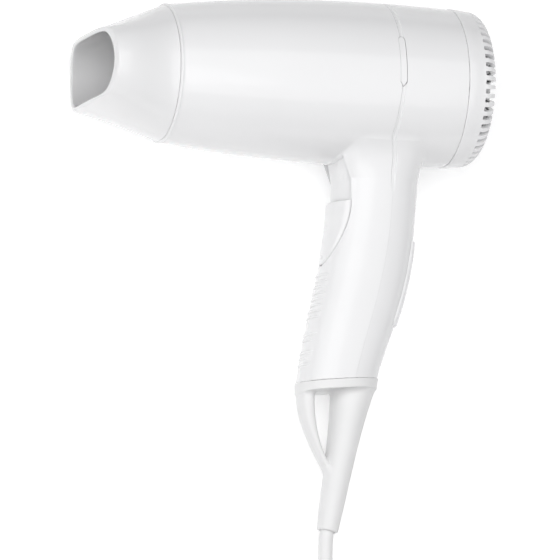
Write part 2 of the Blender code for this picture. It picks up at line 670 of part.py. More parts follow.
def make_switch(slide_axis):
    def slider_half_width(y):
        """Straight sides, then a rounded point at the lower end."""
        t = (SLIDER_TOP - y) / (SLIDER_TOP - SLIDER_BOTTOM)
        return SLIDER_HALF_WIDTH * max(0.12, 1.0 - max(0.0, (t - 0.45) / 0.55) ** 2.2)

    heights = [SLIDER_TOP, -58.0, -64.0, -68.0, -72.0, -75.0, -77.5, -79.2, SLIDER_BOTTOM]
    slider = curved_plate("switch_slider", switch_face, heights, slider_half_width, -1.2, 1.4,
                          SWITCH_WHITE, slide_axis)
    front = handle_front(-65.0, 0.0, 0.0)[0]
    stem_low = (front - 1.0, STEM_BOTTOM, -STEM_HALF_WIDTH)
    stem = box("slider_stem", stem_low, (-24.9, STEM_TOP, STEM_HALF_WIDTH),
               parent=slide_axis)
    boolean(slider, "UNION", stem)
    box("switch_actuator", (-24.5, STEM_BOTTOM, -STEM_HALF_WIDTH), (-19.5, STEM_TOP, STEM_HALF_WIDTH),
        BLACK_PLASTIC, slide_axis)
    track = curved_plate("switch_track", switch_face, spread(TRACK_TOP - 0.5, TRACK_BOTTOM + 0.5, 7),
                         lambda y: TRACK_HALF_WIDTH - 0.5, -3.6, -2.1, SWITCH_WHITE)
    slot = box("track_slot", (-40.0, STEM_BOTTOM - 1.0, -STEM_HALF_WIDTH - 0.5),
               (-15.0, STEM_TOP + SLIDER_TRAVEL + 1.0, STEM_HALF_WIDTH + 0.5))
    boolean(track, "DIFFERENCE", slot)
    body = box("switch_body", (-23.2, -83.0, -7.0), (-10.0, -46.0, 7.0), BLACK_PLASTIC)
    pocket = box("switch_pocket", (-30.0, STEM_BOTTOM - 1.0, -STEM_HALF_WIDTH - 0.5),
                 (-18.0, STEM_TOP + SLIDER_TRAVEL + 1.0, STEM_HALF_WIDTH + 0.5))
    boolean(body, "DIFFERENCE", pocket)


def make_rear_plate():
    def half_width(y):
        return 10.0 if y > -110.0 else 8.6

    curved_plate("rear_plate", handle_rear, [-73.0, -82.0, -92.0, -101.0, -109.0, -112.0], half_width,
                 GAP, 1.1, SHELL_WHITE)


def make_handle_screws():
    for name, y in zip(("handle_screw_upper", "handle_screw_lower"), SCREW_HEIGHTS):
        seat = seam_at(y) + 4.6 + GAP
        screw = rod(name, (seat, y, 0.0), (seat + 2.0, y, 0.0), 2.8, STEEL, sides=16)
        shank = rod(f"{name}_shank", (seat - 15.0, y, 0.0), (seat + 0.5, y, 0.0), 1.3, sides=10)
        boolean(screw, "UNION", shank)
        cross_x = rod(f"{name}_recess", (seat + 0.9, y, 0.0), (seat + 3.0, y, 0.0), 0.9, sides=6)
        boolean(screw, "DIFFERENCE", cross_x)


def make_cord_guard():
    """Tapered sleeve, base plate and strap in one moulding. Its bore holds the cord."""
    lean = Matrix.Rotation(math.radians(-90.0) - GUARD_LEAN, 4, "Z")
    place = Matrix.Translation(Vector((*GUARD_TOP, 0.0)) * MM) @ lean
    bore = CORD_RADIUS + GAP
    sleeve = [(radius, along) for along, radius in GUARD_SLEEVE]
    flange = [(5.3, 0.9), (5.3, -6.2), (6.8, -6.2), (6.8, -7.8)]
    profile = [*sleeve, *flange, (bore, -7.8), (bore, GUARD_LENGTH)]
    guard = turned("cord_guard", profile, CORD_WHITE, steps=20, matrix=place)
    plate = loft("guard_plate", [handle_ring(y, -0.1) for y in (HANDLE_END - GAP, HANDLE_END - 2.6)])
    hole = rod("guard_bore", guard_point(-12.0), guard_point(GUARD_LENGTH + 5.0), bore + 0.1, sides=20)
    rings = []
    for i, (x, y, half_thick, half_depth) in enumerate(STRAP_STATIONS):
        before = STRAP_STATIONS[max(i - 1, 0)]
        after = STRAP_STATIONS[min(i + 1, len(STRAP_STATIONS) - 1)]
        run = Vector((after[0] - before[0], after[1] - before[1], 0.0)).normalized()
        outwards = Vector((-run.y, run.x, 0.0))
        ring = []
        for k in range(10):
            u, v = superellipse(2 * math.pi * k / 10, half_thick, half_depth, 2.4)
            ring.append(Vector((x, y, v)) + outwards * u)
        rings.append(ring)
    boolean(guard, "UNION", plate, loft("guard_strap", rings))
    boolean(guard, "DIFFERENCE", hole)
    return guard


def make_cord_clamp():
    centre = guard_point((GUARD_TOP[1] - CLAMP_HEIGHT) / math.cos(GUARD_LEAN))[0]
    rear = centre - CORD_RADIUS - 0.2 - GAP
    low = (rear - 2.4, CLAMP_HEIGHT - 2.4, -9.3)
    high = (rear, CLAMP_HEIGHT + 2.4, 9.3)
    clamp = box("cord_clamp", low, high, GREY_PLASTIC)
    for i, z in enumerate((-CLAMP_REACH, CLAMP_REACH), start=1):
        y = CLAMP_HEIGHT
        hole = rod(f"clamp_hole_{i}", (rear - 5.0, y, z), (rear + 5.0, y, z), 1.6, sides=12)
        boolean(clamp, "DIFFERENCE", hole)
        seat = rear - 2.4 - GAP
        screw = rod(f"clamp_screw_{i}", (seat - 1.8, y, z), (seat, y, z), 2.5, STEEL, sides=14)
        shank = rod(f"clamp_shank_{i}", (seat - 0.5, y, z), (seat + 9.5, y, z), 1.25, sides=10)
        boolean(screw, "UNION", shank)


def make_wires():
    start = guard_point(-17.2)
    cord_end = guard_point(-16.6)
    tube("cord_inner", [guard_point(GUARD_LENGTH), guard_point(30.0), guard_point(5.0), cord_end],
         CORD_RADIUS, CORD_WHITE)
    live = [(start.x, start.y + 0.2, 1.4), (-14.2, -121.2, 5.8), (-12.0, -115.0, 6.6),
            (-11.5, -104.0, 6.4), (-12.5, -93.0, 6.2), (-15.0, -88.0, 4.0), (-16.0, -83.6, 3.0)]
    neutral = [(start.x, start.y + 0.2, -1.4), (-14.2, -121.2, -5.8), (-12.0, -115.0, -6.6),
               (-7.0, -103.0, -7.4), (-4.5, -85.0, -8.0), (-4.5, -60.0, -8.0), (-9.0, -44.0, -6.5),
               (-19.5, -33.0, -4.0), (-26.5, -24.0, -2.6), (-29.5, -16.0, -2.0), (-29.0, -10.5, -2.0)]
    heater = [(-17.0, -45.4, 3.0), (-18.0, -40.0, 3.6), (-20.5, -33.0, 4.2), (-26.5, -24.5, 4.0),
              (-33.5, -17.5, 3.6), (-37.4, -14.0, 3.2)]
    tube("wire_live", smooth_route(live, 5.0), 1.1, RED_WIRE)
    tube("wire_neutral", smooth_route(neutral, 6.0), 1.1, BLUE_WIRE)
    tube("wire_heater", smooth_route(heater, 5.0), 1.1, RED_WIRE)


# ---------------------------------------------------------------- free cord


def make_free_cord():
    """The lead from the guard, the tied coil, and the tail to the plug, all on the table."""
    exit_point = FRAME_MATRIX @ guard_point(GUARD_LENGTH + GAP)
    floor = CORD_RADIUS + 0.05
    lead = [exit_point, (18.7, -131.5, 3.75), (15.2, -142.5, floor), (9.4, -153.0, floor),
            (0.6, -162.6, floor), (-12.6, -171.4, floor)]
    tube("cord_lead", smooth_route(lead, 10.0), CORD_RADIUS, CORD_WHITE, parent=None)
    upright = Matrix.Rotation(math.radians(-90.0), 4, "Y")
    centre = Matrix.Translation(Vector((*COIL_CENTRE, 0.0)) * MM) @ upright
    base = 0.05
    ring = [(COIL_OUTER - 3.0, base), (COIL_OUTER, 3.0), (COIL_OUTER, 9.0), (COIL_OUTER - 6.5, COIL_TOP),
            (COIL_INNER + 6.5, COIL_TOP), (COIL_INNER, 9.0), (COIL_INNER, 3.0), (COIL_INNER + 3.0, base)]
    coil = turned("cord_coil", ring[::-1], CORD_WHITE, parent=None, steps=32, matrix=centre)
    x, y = COIL_CENTRE
    reach = TIE_HALF_WIDTH
    tie_low = (x - COIL_OUTER - 0.6, y - reach, base)
    tie_high = (x - COIL_INNER + 0.6, y + reach, COIL_TOP + 0.4)
    tie = box("coil_tie", tie_low, tie_high, BLACK_PLASTIC, parent=None)
    inner_low = (x - COIL_OUTER + 0.3, y - reach - 3.0, base + TIE_THICKNESS)
    inner_high = (x - COIL_INNER - 0.3, y + reach + 3.0, COIL_TOP - 0.4)
    boolean(tie, "DIFFERENCE", box("tie_inside", inner_low, inner_high, parent=None))
    waist = box("coil_waist", (x - COIL_OUTER - 5.0, y - reach - GAP, -5.0),
                (x - COIL_INNER + 5.0, y + reach + GAP, COIL_TOP + 5.0), parent=None)
    core_low = (inner_low[0] + GAP, y - reach - 5.0, inner_low[2] + GAP)
    core_high = (inner_high[0] - GAP, y + reach + 5.0, inner_high[2] - GAP)
    boolean(waist, "DIFFERENCE", box("coil_core", core_low, core_high, parent=None))
    boolean(coil, "DIFFERENCE", waist)
    make_plug()
    plug_back = Vector(PLUG_PLACE) - Vector((0.0, PLUG_SLEEVE + 2 * GAP, 0.0))
    tail = [(55.4, -250.2, 8.6), (65.0, -246.0, 6.2), (75.5, -240.0, 4.2), (84.5, -231.5, 3.9),
            (89.8, -221.5, 5.6), (91.0, -215.5, 6.7), plug_back]
    tube("cord_tail", smooth_route(tail, 9.0), CORD_RADIUS, CORD_WHITE, parent=None)


def make_plug():
    """A flat two-pin plug lying on the table, its pins towards +Y."""
    x, y, z = PLUG_PLACE
    body_rings = []
    for along, half_width, half_height in PLUG_STATIONS:
        ring = []
        for k in range(24):
            u, v = superellipse(2 * math.pi * k / 24, half_width, half_height, 4.0)
            ring.append((x + u, y + along, z + v))
        body_rings.append(ring)
    body = loft("plug_body", body_rings, CORD_WHITE, parent=None)
    sleeve_ends = (x, y - PLUG_SLEEVE, z), (x, y + 3.0, z)
    sleeve = rod("plug_sleeve", *sleeve_ends, 4.2, parent=None, end_radius=5.2, sides=20)
    boolean(body, "UNION", sleeve)
    for i, side in enumerate((-9.5, 9.5), start=1):
        root = (x + side, y + PLUG_LENGTH + GAP, z)
        pin = (x + side, y + PLUG_LENGTH + PLUG_PIN_LENGTH, z)
        rod(f"plug_pin_{i}", root, pin, 2.0, BRASS, parent=None, sides=14)


def main():
    fan_axis = make_empty("fan_axis", (0.0, 0.0, 0.0), parent=FRAME)
    nozzle_axis = make_empty("nozzle_axis", (0.0, 0.0, 0.0), parent=FRAME)
    slide_axis = make_empty("slide_axis", (0.0, 0.0, 0.0), parent=FRAME)
    make_front_shell()
    make_rear_shell()
    make_intake_grille()
    make_lint_filter()
    make_fan_duct()
    make_motor_parts(fan_axis)
    make_fan_impeller(fan_axis)
    make_diode_board()
    make_heater()
    make_outlet_grille()
    make_nozzle(nozzle_axis)
    make_switch(slide_axis)
    make_rear_plate()
    make_handle_screws()
    make_cord_guard()
    make_cord_clamp()
    make_wires()
    make_free_cord()


main()
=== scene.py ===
"""A compact white hair dryer lying on a pale table: fine surfaces, materials, light and camera.

The dryer's own frame has the barrel along X with the outlet towards -X, the handle towards -Y, and
both halves alike about Z = 0, in millimetres. DESIGN takes that frame to the table's, in metres.
The free cord lies in the table's frame, in millimetres, and TABLE takes that to metres.
"""

import json
import math

import bmesh
import bpy
import numpy as np
from mathutils import Matrix, Vector


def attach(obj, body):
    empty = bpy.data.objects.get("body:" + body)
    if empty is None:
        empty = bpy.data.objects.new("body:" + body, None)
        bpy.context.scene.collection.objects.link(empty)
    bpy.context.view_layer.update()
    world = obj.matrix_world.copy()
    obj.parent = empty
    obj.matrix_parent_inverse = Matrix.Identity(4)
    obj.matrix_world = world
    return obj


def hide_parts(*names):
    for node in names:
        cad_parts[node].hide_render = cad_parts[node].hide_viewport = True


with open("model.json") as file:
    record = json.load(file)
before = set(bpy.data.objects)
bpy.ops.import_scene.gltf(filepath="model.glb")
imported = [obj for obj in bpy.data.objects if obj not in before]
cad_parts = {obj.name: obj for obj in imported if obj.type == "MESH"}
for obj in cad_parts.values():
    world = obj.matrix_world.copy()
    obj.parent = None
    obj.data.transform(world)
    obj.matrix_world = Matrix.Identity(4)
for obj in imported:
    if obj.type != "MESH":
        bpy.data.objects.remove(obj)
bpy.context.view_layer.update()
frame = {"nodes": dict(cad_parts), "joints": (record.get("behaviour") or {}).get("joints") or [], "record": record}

MM = 0.001
JOINTS = {joint["name"]: joint for joint in frame["joints"]}
SLIDE_AXIS = Vector(JOINTS["switch_slide"]["axis"])
TILT = math.atan2(SLIDE_AXIS.z, SLIDE_AXIS.y)
TURN = Matrix.Rotation(TILT, 4, "X")
TABLE = Matrix.Scale(MM, 4)
DESIGN = Matrix.Translation(JOINTS["fan_spin"]["pos_m"]) @ TURN @ TABLE


def link(obj):
    bpy.context.scene.collection.objects.link(obj)
    return obj


# ---------------- camera

CAMERA_YAW, CAMERA_PITCH = math.radians(18.5), math.radians(8.0)
CAMERA_AIM = (-52.2, -92.2, 0.0)
CAMERA_FAR = 3600.0
VIEW_HEIGHT = 254.5


def make_camera():
    back = Vector((-math.sin(CAMERA_YAW) * math.cos(CAMERA_PITCH), -math.sin(CAMERA_PITCH),
                   math.cos(CAMERA_YAW) * math.cos(CAMERA_PITCH)))
    right = Vector((math.cos(CAMERA_YAW), 0.0, math.sin(CAMERA_YAW)))
    axes = Matrix((right, back.cross(right), back)).transposed().to_4x4()
    camera = bpy.data.cameras.new("camera")
    camera.lens = camera.sensor_width * CAMERA_FAR / VIEW_HEIGHT
    camera.clip_start, camera.clip_end = 0.05, 30.0
    obj = link(bpy.data.objects.new("camera", camera))
    place = DESIGN @ (Vector(CAMERA_AIM) + back * CAMERA_FAR)
    obj.matrix_world = Matrix.Translation(place) @ TURN @ axes
    bpy.context.scene.camera = obj


make_camera()

# ---------------- materials

GRAIN_DEPTH = 0.2
SHARP_ANGLE, FITTING_ANGLE = 35.0, 40.0


def shader_nodes(name):
    made = bpy.data.materials.new(name)
    made.use_nodes = True
    tree = made.node_tree
    return made, tree, tree.nodes["Principled BSDF"]


def noise(tree, scale, detail=3.0, stretch=None):
    """Noise in the object's own space, per metre. stretch scales it along each axis."""
    place = tree.nodes.new("ShaderNodeTexCoord").outputs["Object"]
    texture = tree.nodes.new("ShaderNodeTexNoise")
    texture.inputs["Scale"].default_value = scale
    texture.inputs["Detail"].default_value = detail
    if stretch:
        mapping = tree.nodes.new("ShaderNodeMapping")
        mapping.inputs["Scale"].default_value = stretch
        tree.links.new(place, mapping.inputs["Vector"])
        place = mapping.outputs["Vector"]
    tree.links.new(place, texture.inputs["Vector"])
    return texture.outputs["Fac"]


def ramp(tree, value, low, high):
    """A colour that runs from low to high as value goes from 0.3 to 0.7."""
    made = tree.nodes.new("ShaderNodeValToRGB")
    made.color_ramp.elements[0].position = 0.3
    made.color_ramp.elements[1].position = 0.7
    made.color_ramp.elements[0].color = (*low, 1.0)
    made.color_ramp.elements[1].color = (*high, 1.0)
    tree.links.new(value, made.inputs["Fac"])
    return made.outputs["Color"]


def spread_value(tree, value, low, high):
    made = tree.nodes.new("ShaderNodeMapRange")
    made.inputs["To Min"].default_value = low
    made.inputs["To Max"].default_value = high
    tree.links.new(value, made.inputs["Value"])
    return made.outputs["Result"]


def finish(name, colour, roughness, metallic=0.0, spots=60.0, tint=0.015, grain=900.0, height=0.02,
           stretch=None, shine=0.5):
    """Moulded, drawn or sheet material: a slightly uneven colour and gloss over a fine grain."""
    made, tree, shader = shader_nodes(name)
    shader.inputs["Metallic"].default_value = metallic
    shader.inputs["Specular IOR Level"].default_value = shine
    patches = noise(tree, spots, stretch=stretch)
    dark = [max(0.0, c - tint) for c in colour]
    light = [min(1.0, c + tint) for c in colour]
    tree.links.new(ramp(tree, patches, dark, light), shader.inputs["Base Color"])
    finer_patches = noise(tree, spots * 2.5, stretch=stretch)
    gloss = spread_value(tree, finer_patches, roughness * 0.85, roughness * 1.15)
    tree.links.new(gloss, shader.inputs["Roughness"])
    bump = tree.nodes.new("ShaderNodeBump")
    bump.inputs["Strength"].default_value = height
    bump.inputs["Distance"].default_value = GRAIN_DEPTH * MM
    tree.links.new(noise(tree, grain, 2.0, stretch), bump.inputs["Height"])
    tree.links.new(bump.outputs["Normal"], shader.inputs["Normal"])
    return made


SHELL = finish("glossy_white_shell", (0.82, 0.82, 0.825), 0.12, spots=35.0, tint=0.006, grain=260.0,
               height=0.015, shine=0.4)
SWITCH = finish("satin_white_switch", (0.81, 0.81, 0.815), 0.30, spots=60.0, tint=0.006, grain=2600.0,
                height=0.05)
PVC = finish("soft_white_pvc", (0.79, 0.79, 0.79), 0.38, spots=45.0, tint=0.008, grain=2200.0, height=0.05,
             shine=0.3)
GREY = finish("grey_heat_plastic", (0.30, 0.31, 0.32), 0.55, tint=0.02, grain=2500.0, height=0.10)
MICA = finish("mica_sheet", (0.55, 0.44, 0.28), 0.42, spots=140.0, tint=0.06, grain=700.0, height=0.15)
STEEL = finish("drawn_steel", (0.58, 0.58, 0.60), 0.30, 1.0, tint=0.03, grain=900.0, height=0.08,
               stretch=(1, 8, 8))
BRASS = finish("plated_brass", (0.76, 0.63, 0.33), 0.24, 1.0, tint=0.02, grain=1500.0, height=0.04)
NICHROME = finish("oxidised_wire", (0.34, 0.30, 0.28), 0.48, 1.0, spots=300.0, tint=0.05, height=0.10)
COPPER = finish("enamelled_copper", (0.66, 0.32, 0.16), 0.30, 1.0, spots=200.0, tint=0.05, grain=2400.0,
                height=0.35, stretch=(6, 1, 1))
BLACK = finish("black_moulding", (0.025, 0.025, 0.027), 0.45, tint=0.006, grain=2600.0, height=0.08)
BOARD = finish("green_laminate", (0.04, 0.17, 0.07), 0.35, spots=220.0, tint=0.02, grain=1800.0, height=0.06)
BROWN_WIRE = finish("brown_insulation", (0.16, 0.06, 0.03), 0.40, tint=0.01, grain=2000.0, height=0.04)
BLUE_WIRE = finish("blue_insulation", (0.03, 0.09, 0.30), 0.40, tint=0.01, grain=2000.0, height=0.04)
TABLE_TOP = finish("white_table", (0.90, 0.90, 0.90), 0.55, spots=6.0, tint=0.004, grain=120.0, height=0.01)

INNER_FINISHES = {
    "inner_grey": GREY, "mica": MICA, "steel": STEEL, "brass": BRASS, "nichrome": NICHROME, "copper": COPPER,
    "black_plastic": BLACK, "circuit_board": BOARD, "wire_brown": BROWN_WIRE, "wire_blue": BLUE_WIRE,
    "cord_white": PVC, "switch_white": SWITCH, "shell_white": SHELL,
}


def shade(mesh, angle):
    mesh.shade_smooth()
    mesh.set_sharp_from_angle(angle=math.radians(angle))


def finish_cad_nodes():
    """Every CAD node gets its slot's material. Those that a finer piece replaces are hidden later."""
    for part in frame["record"]["subparts"]:
        node = frame["nodes"][part["node"]]
        node.data.materials.clear()
        node.data.materials.append(INNER_FINISHES[part["material_slot"]])
        shade(node.data, SHARP_ANGLE)


finish_cad_nodes()

# ---------------- mesh tools


def mesh_of(name, points, faces):
    mesh = bpy.data.meshes.new(name)
    mesh.from_pydata([tuple(p) for p in np.asarray(points, float)], [], [tuple(map(int, f)) for f in faces])
    mesh.validate()
    return mesh


def facing_out(mesh):
    bm = bmesh.new()
    bm.from_mesh(mesh)
    bmesh.ops.recalc_face_normals(bm, faces=bm.faces)
    bm.to_mesh(mesh)
    bm.free()
    return mesh


def as_object(mesh):
    return link(bpy.data.objects.new(mesh.name, mesh))


def loft(name, rings, looped=False):
    """A closed solid through rings of equally many points. Its ends are capped, or join each other."""
    rings = np.asarray([[tuple(p) for p in ring] for ring in rings], float)
    rows, count = rings.shape[:2]
    faces = []
    for i in range(rows if looped else rows - 1):
        for j in range(count):
            k, below = (j + 1) % count, (i + 1) % rows
            faces.append((i * count + j, i * count + k, below * count + k, below * count + j))
    if not looped:
        faces.append(tuple(range(count))[::-1])
        faces.append(tuple((rows - 1) * count + j for j in range(count)))
    return facing_out(mesh_of(name, rings.reshape(-1, 3), faces))


def turned(name, profile, steps=192):
    """A closed outline of (radius, x) turned about the X axis, or a solid where it ends on the axis."""
    looped = profile[0][0] > 0.0
    angles = around(steps)
    rings = [[(x, r * math.cos(a), r * math.sin(a)) for a in angles] for r, x in profile]
    return loft(name, rings if looped else rings[1:-1], looped)


def box(name, low, high):
    (x0, y0, z0), (x1, y1, z1) = low, high
    ends = [[(x, y0, z0), (x, y1, z0), (x, y1, z1), (x, y0, z1)] for x in (x0, x1)]
    return loft(name, ends)


def prism(name, outline, reach):
    """A solid with the same (x, y) outline from -reach to reach in Z."""
    return loft(name, [[(x, y, z) for x, y in outline] for z in (-reach, reach)])


def combine(mesh, operation, *others):
    """The mesh cut by or joined with others, one after another."""
    obj = as_object(mesh)
    helpers = [as_object(other) for other in others]
    for helper in helpers:
        step = obj.modifiers.new(helper.name, "BOOLEAN")
        step.operation, step.solver, step.object = operation, "MANIFOLD", helper
    graph = bpy.context.evaluated_depsgraph_get()
    result = bpy.data.meshes.new_from_object(obj.evaluated_get(graph))
    for helper in [*helpers, obj]:
        bpy.data.objects.remove(helper)
    if not result.polygons:
        raise RuntimeError(f"{mesh.name}: the {operation} left nothing")
    return result


def merged(name, meshes):
    """Separate closed solids in one mesh."""
    bm = bmesh.new()
    for mesh in meshes:
        bm.from_mesh(mesh)
    made = bpy.data.meshes.new(name)
    bm.to_mesh(made)
    bm.free()
    return made


def around(steps):
    """Evenly spaced angles of a full turn."""
    return np.linspace(0.0, 2 * math.pi, steps, endpoint=False)


def level_ring(x, y, z, u, v):
    """A ring at the height y, around (x, z)."""
    return np.stack([x + u, np.full(len(u), y), z + v], axis=1)


def round_ring(x, y, z, radius, angles):
    return level_ring(x, y, z, radius * np.cos(angles), radius * np.sin(angles))


def share(value, start, end):
    """From 0 at start to 1 at end, and no further on either side."""
    return np.clip((value - start) / (end - start), 0.0, 1.0)


def smooth_step(t):
    t = np.clip(t, 0.0, 1.0)
    return t * t * (3 - 2 * t)


def superellipse(angle, half_width, half_height, squareness):
    c, s = np.cos(angle), np.sin(angle)
    power = 2.0 / squareness
    return half_width * np.sign(c) * np.abs(c) ** power, half_height * np.sign(s) * np.abs(s) ** power


def piece(name, mesh, material, body, nodes=(), matrix=DESIGN, smooth=SHARP_ANGLE):
    """A finished piece: moved to the table's frame, shaded, and declared to the frame."""
    mesh.transform(matrix)
    mesh.name = name
    mesh.materials.clear()
    mesh.materials.append(material)
    if smooth is not None:
        shade(mesh, smooth)
    obj = as_object(mesh)
    obj.name = name
    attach(obj, body)
    if nodes:
        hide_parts(*nodes)
    return obj


# ---------------- free cord

CORD_RADIUS = 3.35
CORD_LOW = CORD_RADIUS + 0.05
GUARD_TOP = (-17.7, -141.0)
GUARD_LEAN = math.radians(10.4)
GUARD_LENGTH = 66.4
COIL_CENTRE = (9.0, -222.0)
COIL_REACH = 56.0
TURN_RADII = (46.7, 40.0, 33.3)
SECOND_RADII = (36.65, 43.35)
LAYER_RISE = 5.8
COIL_START, COIL_END = 115.0, 2080.0
SHIFT_ANGLES = (464.0, 824.0, 1139.0, 1454.0, 1769.0)
SHIFT = 45.0
TIE_ANGLE, TIE_HALF_WIDTH, TIE_THICKNESS, TIE_SLACK = 180.0, 4.0, 0.8, 0.3
TIE_LIFT_FLAT, TIE_LIFT_FADE = 8.0, 25.0
PLUG_PLACE = (91.0, -200.0, 6.9)
PLUG_SLEEVE, PLUG_LENGTH = 12.0, 30.0
# (distance along, half width, half height)
PLUG_STATIONS = ((0.0, 6.5, 5.4), (8.0, 9.0, 6.6), (18.0, 12.8, 6.8), (PLUG_LENGTH, 13.2, 6.8))
PLUG_END_ROUND, PLUG_SQUARENESS = 1.6, 3.6
RIDGE_HEIGHT, RIDGE_SPACING, RIDGE_START, RIDGE_END = 0.35, 3.2, 10.0, 22.6
PIN_SIDES = (-9.5, 9.5)
# (distance along, radius)
PIN_PROFILE = ((0.3, 2.0), (16.4, 2.0), (17.6, 1.9), (18.4, 1.5), (18.85, 0.9), (19.0, 0.3))
LEAD = ((20.9, -132.0, 3.75), (19.6, -144.0, CORD_LOW), (15.6, -155.6, CORD_LOW),
        (9.4, -165.6, CORD_LOW), (0.8, -173.6, CORD_LOW))
OVER_THE_COIL = ((32.5, -260.5, 14.0), (44.5, -256.5, 11.6))
TAIL = ((55.4, -250.2, 8.6), (65.0, -246.0, 6.2), (75.5, -240.0, 4.2), (84.5, -231.5, 3.9),
        (89.8, -221.5, 5.6), (91.0, -215.5, 6.7))


def guard_point(along, across=0.0):
    """A point on the guard's axis, so far from its top, and moved forwards by across."""
    down = Vector((-math.sin(GUARD_LEAN), -math.cos(GUARD_LEAN), 0.0))
    forwards = Vector((-math.cos(GUARD_LEAN), math.sin(GUARD_LEAN), 0.0))
    return Vector((*GUARD_TOP, 0.0)) + down * along + forwards * across


def through(points, spacing):
    """Evenly spaced points along the Catmull-Rom curve through a few points."""
    points = np.asarray([tuple(p) for p in points], float)
    padded = np.vstack([2 * points[0] - points[1], points, 2 * points[-1] - points[-2]])
    t = np.linspace(0.0, 1.0, 24, endpoint=False)[:, None]
    fine = []
    for a, b, c, d in zip(padded, padded[1:], padded[2:], padded[3:]):
        fine.append(0.5 * (2 * b + (c - a) * t + (2 * a - 5 * b + 4 * c - d) * t**2
                           + (3 * b - a - 3 * c + d) * t**3))
    fine = np.vstack([*fine, points[-1:]])
    walked = np.concatenate([[0.0], np.cumsum(np.linalg.norm(np.diff(fine, axis=0), axis=1))])
    at = np.linspace(0.0, walked[-1], max(2, round(walked[-1] / spacing)) + 1)
    return np.stack([np.interp(at, walked, fine[:, k]) for k in range(3)], axis=1)


def cord_floor(angle):
    """The lowest the cord's middle may lie: it is lifted where the tie passes under the turns."""
    away = np.abs((np.degrees(angle) - TIE_ANGLE + 180.0) % 360.0 - 180.0)
    lift = TIE_THICKNESS + TIE_SLACK
    near = np.clip(1.0 - (away - TIE_LIFT_FLAT) / TIE_LIFT_FADE, 0.0, 1.0)
    return CORD_LOW + lift * near**2


def coil_route():
    """The turns' middle line: three flat turns, two that lie on them, and one on top."""
    second, top = CORD_LOW + LAYER_RISE, CORD_LOW + 2 * LAYER_RISE
    turns = [(r, CORD_LOW) for r in TURN_RADII] + [(r, second) for r in SECOND_RADII]
    turns.append((TURN_RADII[1], top))
    marks = [(COIL_START, *turns[0])]
    for angle, before, after in zip(SHIFT_ANGLES, turns, turns[1:]):
        marks += [(angle, *before), (angle + SHIFT, *after)]
    marks.append((COIL_END, *turns[-1]))
    route = []
    for (a0, r0, z0), (a1, r1, z1) in zip(marks, marks[1:]):
        for a in np.arange(a0, a1, 5.0):
            s = smooth_step((a - a0) / (a1 - a0))
            route.append((a, r0 + (r1 - r0) * s, z0 + (z1 - z0) * s))
    angles, radii, heights = np.array(route).T
    x = COIL_CENTRE[0] + radii * np.cos(np.radians(angles))
    y = COIL_CENTRE[1] + radii * np.sin(np.radians(angles))
    return np.stack([x, y, heights], axis=1)


def settle(line, rounds=260):
    """The turns pushed apart to a diameter, kept off the table, and kept smooth. Both ends stay put."""
    aim = line.copy()
    neighbours, held_ends, gap = 4, 6.0, 0.04
    push_rate, smooth_rate, return_rate = 0.45, 0.35, 0.01
    index = np.arange(len(line))
    apart = np.abs(index[:, None] - index[None, :]) > neighbours
    held = np.minimum(np.minimum(index, index[::-1]) / held_ends, 1.0)[:, None]
    for _ in range(rounds):
        between = line[:, None, :] - line[None, :, :]
        distance = np.sqrt((between**2).sum(2)) + 1e-9
        overlap = np.where(apart, np.clip(2 * CORD_RADIUS + gap - distance, 0.0, None), 0.0)
        push = (between * (push_rate * overlap / distance)[:, :, None]).sum(1)
        middle = np.zeros_like(line)
        middle[1:-1] = (line[2:] + line[:-2]) / 2 - line[1:-1]
        curve = np.zeros_like(line)
        curve[2:-2] = middle[2:-2] - (middle[3:-1] + middle[1:-3]) / 2
        line = line + held * (push + smooth_rate * curve + return_rate * (aim - line))
        angle = np.arctan2(line[:, 1] - COIL_CENTRE[1], line[:, 0] - COIL_CENTRE[0])
        radius = np.hypot(line[:, 1] - COIL_CENTRE[1], line[:, 0] - COIL_CENTRE[0])
        lowest = np.where(radius < COIL_REACH, cord_floor(angle), CORD_LOW)
        line[:, 2] = np.maximum(line[:, 2], lowest)
    return line


def cord_line():
    """The whole free cord: off the guard's end, round the coil, and up to the plug's sleeve."""
    ends = [tuple(v / MM for v in DESIGN @ guard_point(GUARD_LENGTH + past)) for past in (-3.0, 3.0)]
    x, y, z = PLUG_PLACE
    into_plug = (x, y - PLUG_SLEEVE + 1.0, z)
    rough = through([*ends, *LEAD, *coil_route()[::2], *OVER_THE_COIL, *TAIL, into_plug], 4.0)
    return through(settle(rough), 2.4)


CORD_LINE = cord_line()


def make_cord():
    curve = bpy.data.curves.new("free_cord", "CURVE")
    curve.dimensions = "3D"
    curve.bevel_depth = CORD_RADIUS * MM
    curve.bevel_resolution = 4
    curve.use_fill_caps = True
    spline = curve.splines.new("POLY")
    spline.points.add(len(CORD_LINE) - 1)
    for point, place in zip(spline.points, CORD_LINE):
        point.co = (*(place * MM), 1.0)
    spline.use_smooth = True
    curve.materials.append(PVC)
    cord = link(bpy.data.objects.new("free_cord", curve))
    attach(cord, "root")
    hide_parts("cord_lead", "cord_coil", "cord_tail")
    return cord


def tie_crossings():
    """(radius, height) of each turn where it passes under the tie."""
    place = CORD_LINE - np.array([*COIL_CENTRE, 0.0])
    found = []
    for a, b in zip(place, place[1:]):
        if a[0] < 0.0 and a[1] > 0.0 >= b[1] and math.hypot(*a[:2]) < COIL_REACH:
            t = a[1] / (a[1] - b[1])
            cross = a + (b - a) * t
            found.append((-cross[0], cross[2]))
    return np.array(found)


